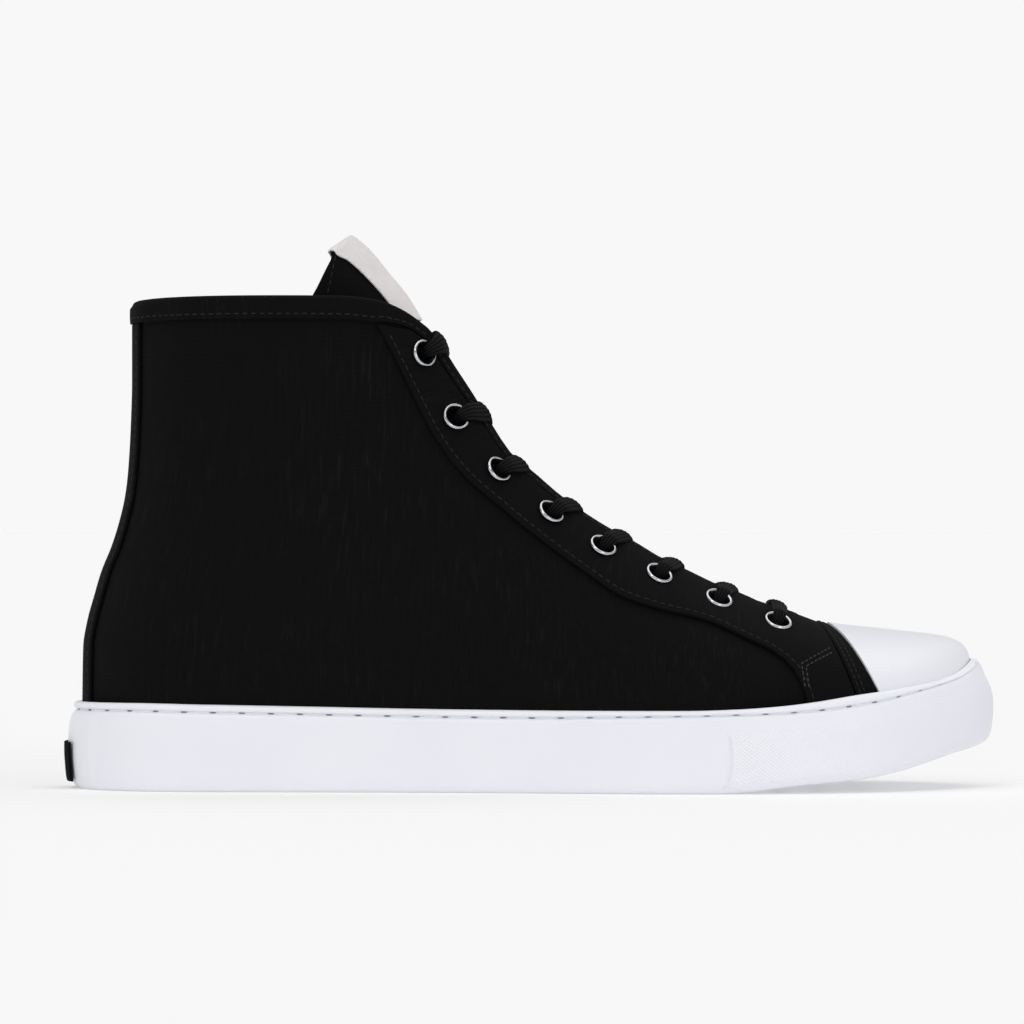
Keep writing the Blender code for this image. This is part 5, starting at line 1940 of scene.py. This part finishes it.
# Two rows along the band, which draw together over the ridge.
def sewBand():
    rows = []
    for side in (-1, 1):
        for inside in seamValues["band"]:
            line = []
            for k in range(61):
                a = k / 60 * 0.97
                wide = bandRim + (bandRidge - bandRim) * a
                line.append(rearPoint(a, side, lay + wide - inside * (1 if a < 0.8 else 0.8)))
            rows.append(seamOver(line, side, lay + facingThick))
    blackRow("stitches_toe_band", rows, 2.4, 1.8)


# Corners (x, z) of the double row that holds the facing's foot to the quarter, the outer row first.
footCorners = (
    ((235.6, 33.2), (234.6, 40.2), (239.8, 42.6), (244.4, 44.6)),
    ((236.9, 33.0), (236.0, 39.3), (240.4, 41.3), (244.9, 43.2)),
)


def sewFacingFoot():
    rows = []
    for side in (-1, 1):
        for corners in footCorners:
            line = resample([skinAt(x, z, side) for x, z in corners], 30)
            rows.append(seamOver([ontoSkin(p, side) for p in line], side, lay + seat + facingThick))
    stitchRows("stitches_eyestay_foot", rows, 2.0, 1.6, 0.5, 0.3, threadPaler)


def sewBackStay():
    rows = []
    top = topLine[0][1] * upperHeight - tapeHeight - gap - 0.6
    for side in (-1, 1):
        x = stayX(stayWidth / 2 - seamValues["stay"], side)
        line = [
            np.array([x + lean(x, z), skinY(x, z, side), z])
            for z in np.linspace(baseZ(upperHeelInset) + 0.5, top, 90)
        ]
        rows.append(seamOver(line, side, lay + facingThick))
    blackRow("stitches_back_stay", rows)


# A seam on a surface given as a function of row and across, raised by a height. Each place has its row, its
# across, and a way that its normal looks to.
def seamOn(pointOf, places, height):
    line, normals = [], []
    for row, across, outward in places:
        n = surfaceFrame(pointOf, row, across)
        n = -n if n.dot(outward) < 0 else n
        line.append(pointOf(row, across) + n * height)
        normals.append(n)
    return line, normals


# Rows of the tongue's table where the side seams start and the top seam lies, how far down the table the side seams
# go as a share, and how far across the top seam reaches.
tongueSeams = {"start": 0.22, "top": 0.14, "down": 0.62, "reach": 0.9}


def sewTongue():
    values = tongueSeams
    rows = []
    last = len(tongueRows) - 1
    for side in (-1, 1):
        places = []
        for row in (values["start"] + last * values["down"] * k / 79 for k in range(80)):
            across = side * (1 - seamValues["tongue"] / (tongueCurves[4](row) * ballHalf))
            places.append((row, across, (0.25, side, 0.1)))
        rows.append(seamOn(tonguePoint, places, 0.06))
    places = [(values["top"], values["reach"] * (2 * k / 49 - 1), (1.0, 0.0, 0.0)) for k in range(50)]
    rows.append(seamOn(tonguePoint, places, 0.06))
    blackRow("stitches_tongue", rows)
    border = []
    # both sides of the label from top to bottom, then its bottom edge: first and last place down and across
    for down0, down1, across0, across1 in (
        (0.03, 0.97, -0.955, -0.955), (0.03, 0.97, 0.955, 0.955), (0.972, 0.972, -0.93, 0.93),
    ):
        places = []
        for t in (k / 39 for k in range(40)):
            across = across0 + (across1 - across0) * t
            places.append((down0 + (down1 - down0) * t, across, (0.5, across, 0.3)))
        border.append(seamOn(labelPoint, places, labelValues["near"] + labelThick + 0.04))
    stitchRows("stitches_label", border, 2.4, 1.9, 0.35, 0.15, threadWhite)


# The sole's white stitches lie in the groove, long and even, with a small grey mark of painted shade where each goes
# down into its needle hole.
soleSeamValues = {
    "pitch": 9.3, "long": 8.0, "thick": 0.95, "high": 0.42, "deep": 0.55, "up": 0.35,
    "hole": 2.3, "holeThick": 0.75, "holeHigh": 0.3, "straight": (45.0, 225.0),
}


# Along the sole's straight part the stitches face sideways, round both ends away from its end points.
def sewSole(groovePath):
    values = soleSeamValues
    first, last = values["straight"]
    path = np.array(list(groovePath) + [groovePath[0]], float)
    normals = []
    for x, y, _ in path:
        normals.append(unit(np.array([x - min(max(x, first), last), y - middle(x), 0.0])))
    normals = np.array(normals)
    row = [(path - normals * values["deep"] + np.array([0, 0, values["up"]]), normals)]
    stitchRows("stitches_sole", row, values["pitch"], values["long"], values["thick"], values["high"], threadWhite)
    # small grey bodies in the groove: painted shade of the needle holes
    stitchRows(
        "needle_holes_sole", row, values["pitch"], values["hole"], values["holeThick"], values["holeHigh"],
        rubberShaded, 0.0,
    )


# The shoe, put together from the ground up.
sole, groovePath = makeSole()
cutWith(sole, makeTreadCutters())
for cutter in [o for o in bpy.data.objects if o.name.startswith("Cube")]:
    bpy.data.objects.remove(cutter, do_unlink=True)
onShoe(sole, "sole")
onShoe(makeInsole(), "insole")
onShoe(makeHeelPatch(), "heel_patch")
print("sole made")

upper = makeUpper()
facings = []
for side, word in ((-1, "lateral"), (1, "medial")):
    grid = facingGrid(side)
    low = lay + seat
    name, sides, cloth = f"eyestay_{word}_canvas", [side] * len(grid), [canvasBlack, canvasBlack]
    facings.append(sheetOnSkin(name, grid, sides, low, low + facingThick, cloth, facingValues["edgeRound"]))
holes = makeHoleCutter()
for piece in [upper] + facings:
    cutWith(piece, holes)
bpy.data.objects.remove(holes, do_unlink=True)
onShoe(upper, "upper")
onShoe(facings[0], "eyestay_lateral")
onShoe(facings[1], "eyestay_medial")
onShoe(makeCap(), "toe_cap")
onShoe(makeBand(), "toe_band")
onShoe(makeBackStay(), "back_stay")
onShoe(makeBinding(), "binding")
onShoe(makeTongue(), "tongue")
onShoe(makeLabel(), "tongue_label")
print("upper made")

placeEyelets()
for k in range(len(eyeletRows)):
    onShoe(makeBar(k), f"lace_bar_{k + 1}")
print("eyelets and lace made")

sewUpper()
sewBand()
sewFacingFoot()
sewBackStay()
sewTongue()
sewSole(groovePath)
print("stitches made")

# Studio: pale paper, a wide softbox overhead, dim walls, and the photograph's level camera.
studioValues = {
    "paper": "#f8f8f8", "paperTone": "#d8d8d8", "paperFibre": "#d7d7d7", "glow": 0.284, "walls": 0.3, "softbox": 1.5,
    "key": 0.45, "keyFrom": (-25.0, 38.0), "fill": 0.35, "fillFrom": (30.0, 15.0), "soft": 22.0,
    # heights in the room where the paper ends, the walls begin and end, and the softbox begins
    "bands": (0.15, 0.30, 0.70, 0.82),
}


def makeStudio():
    values = studioValues
    material, shader, place = newMaterial("pale studio paper")
    fibre = addNoise(material, place, 60.0, 3.0), "Fac"
    surface = {"Roughness": 0.95, "Specular IOR Level": 0.0, "Emission Color": (1.0, 1.0, 1.0, 1.0)}
    surface["Emission Strength"] = values["glow"]
    tone = addTint(material, fibre, values["paperTone"], values["paperFibre"])
    finishMaterial(material, shader, tone, None, surface)
    choose([])
    bpy.ops.mesh.primitive_plane_add(size=60, location=(0, 0, 0))
    floor = bpy.context.object
    floor.name = "studio_floor"
    bpy.ops.object.transform_apply(location=True, rotation=True, scale=True)
    floor.data.materials.append(material)


# A wide soft lamp far away, from an angle round the shoe and a height, both in degrees.
def addLamp(name, turn, height, strength):
    turn, height = math.radians(turn), math.radians(height)
    way = Vector((math.sin(turn) * math.cos(height), -math.cos(turn) * math.cos(height), math.sin(height)))
    choose([])
    bpy.ops.object.light_add(type="SUN", location=way * 3)
    lamp = bpy.context.object
    lamp.name = name
    lamp.data.energy = strength
    lamp.data.angle = math.radians(studioValues["soft"])
    lamp.rotation_euler = (-way).to_track_quat("-Z", "Y").to_euler()


# The room: paper white at the horizon, dim walls above it, a softbox overhead.
def makeWorld():
    values = studioValues
    world = bpy.data.worlds.new("studio")
    world.use_nodes = True
    bpy.context.scene.world = world
    place = addNode(world, "ShaderNodeTexCoord")
    parts = addNode(world, "ShaderNodeSeparateXYZ", links={"Vector": (place, "Generated")})
    paper = linear(values["paper"])[0]
    bands = addNode(world, "ShaderNodeFloatCurve", links={"Value": (parts, "Z")})
    points = bands.mapping.curves[0].points
    walls, top = values["walls"], values["softbox"]
    for height, level in zip(values["bands"], (paper, walls, walls, top)):
        points.new(height, level / 2)
    points[0].location = (0.0, paper / 2)
    points[-1].location = (1.0, top / 2)
    for point in points:
        point.handle_type = "VECTOR"
    bands.mapping.update()
    # the curve holds half the levels, since it ends at 1
    level, output = addMath(world, "MULTIPLY", (bands, "Value"), 2.0)
    light = world.node_tree.nodes["Background"]
    world.node_tree.links.new(level.outputs[output], light.inputs["Strength"])
    light.inputs["Color"].default_value = (1.0, 1.0, 1.0, 1.0)


def makeLights():
    values = studioValues
    makeWorld()
    addLamp("key", *values["keyFrom"], values["key"])
    addLamp("fill", *values["fillFrom"], values["fill"])


# The camera stands level at the shoe's outer side: distance and height in metres, axis in the shoe's millimetres.
cameraValues = {"distance": 2.0, "height": 0.0896, "axis": 142.7, "lens": 215.9}


def makeCamera():
    values = cameraValues
    camera = bpy.data.cameras.new("photo camera")
    camera.lens = values["lens"]
    camera.sensor_width = 36
    camera.clip_start = 0.05
    camera.clip_end = 60
    holder = bpy.data.objects.new("photo camera", camera)
    holder.location = ((values["axis"] - footX) * mm, -values["distance"] - footY * mm, values["height"])
    holder.rotation_euler = (math.radians(90), 0, 0)
    bpy.context.collection.objects.link(holder)
    bpy.context.scene.camera = holder
    bpy.context.scene.view_settings.view_transform = "Standard"


makeStudio()
makeLights()
makeCamera()
print("studio made")
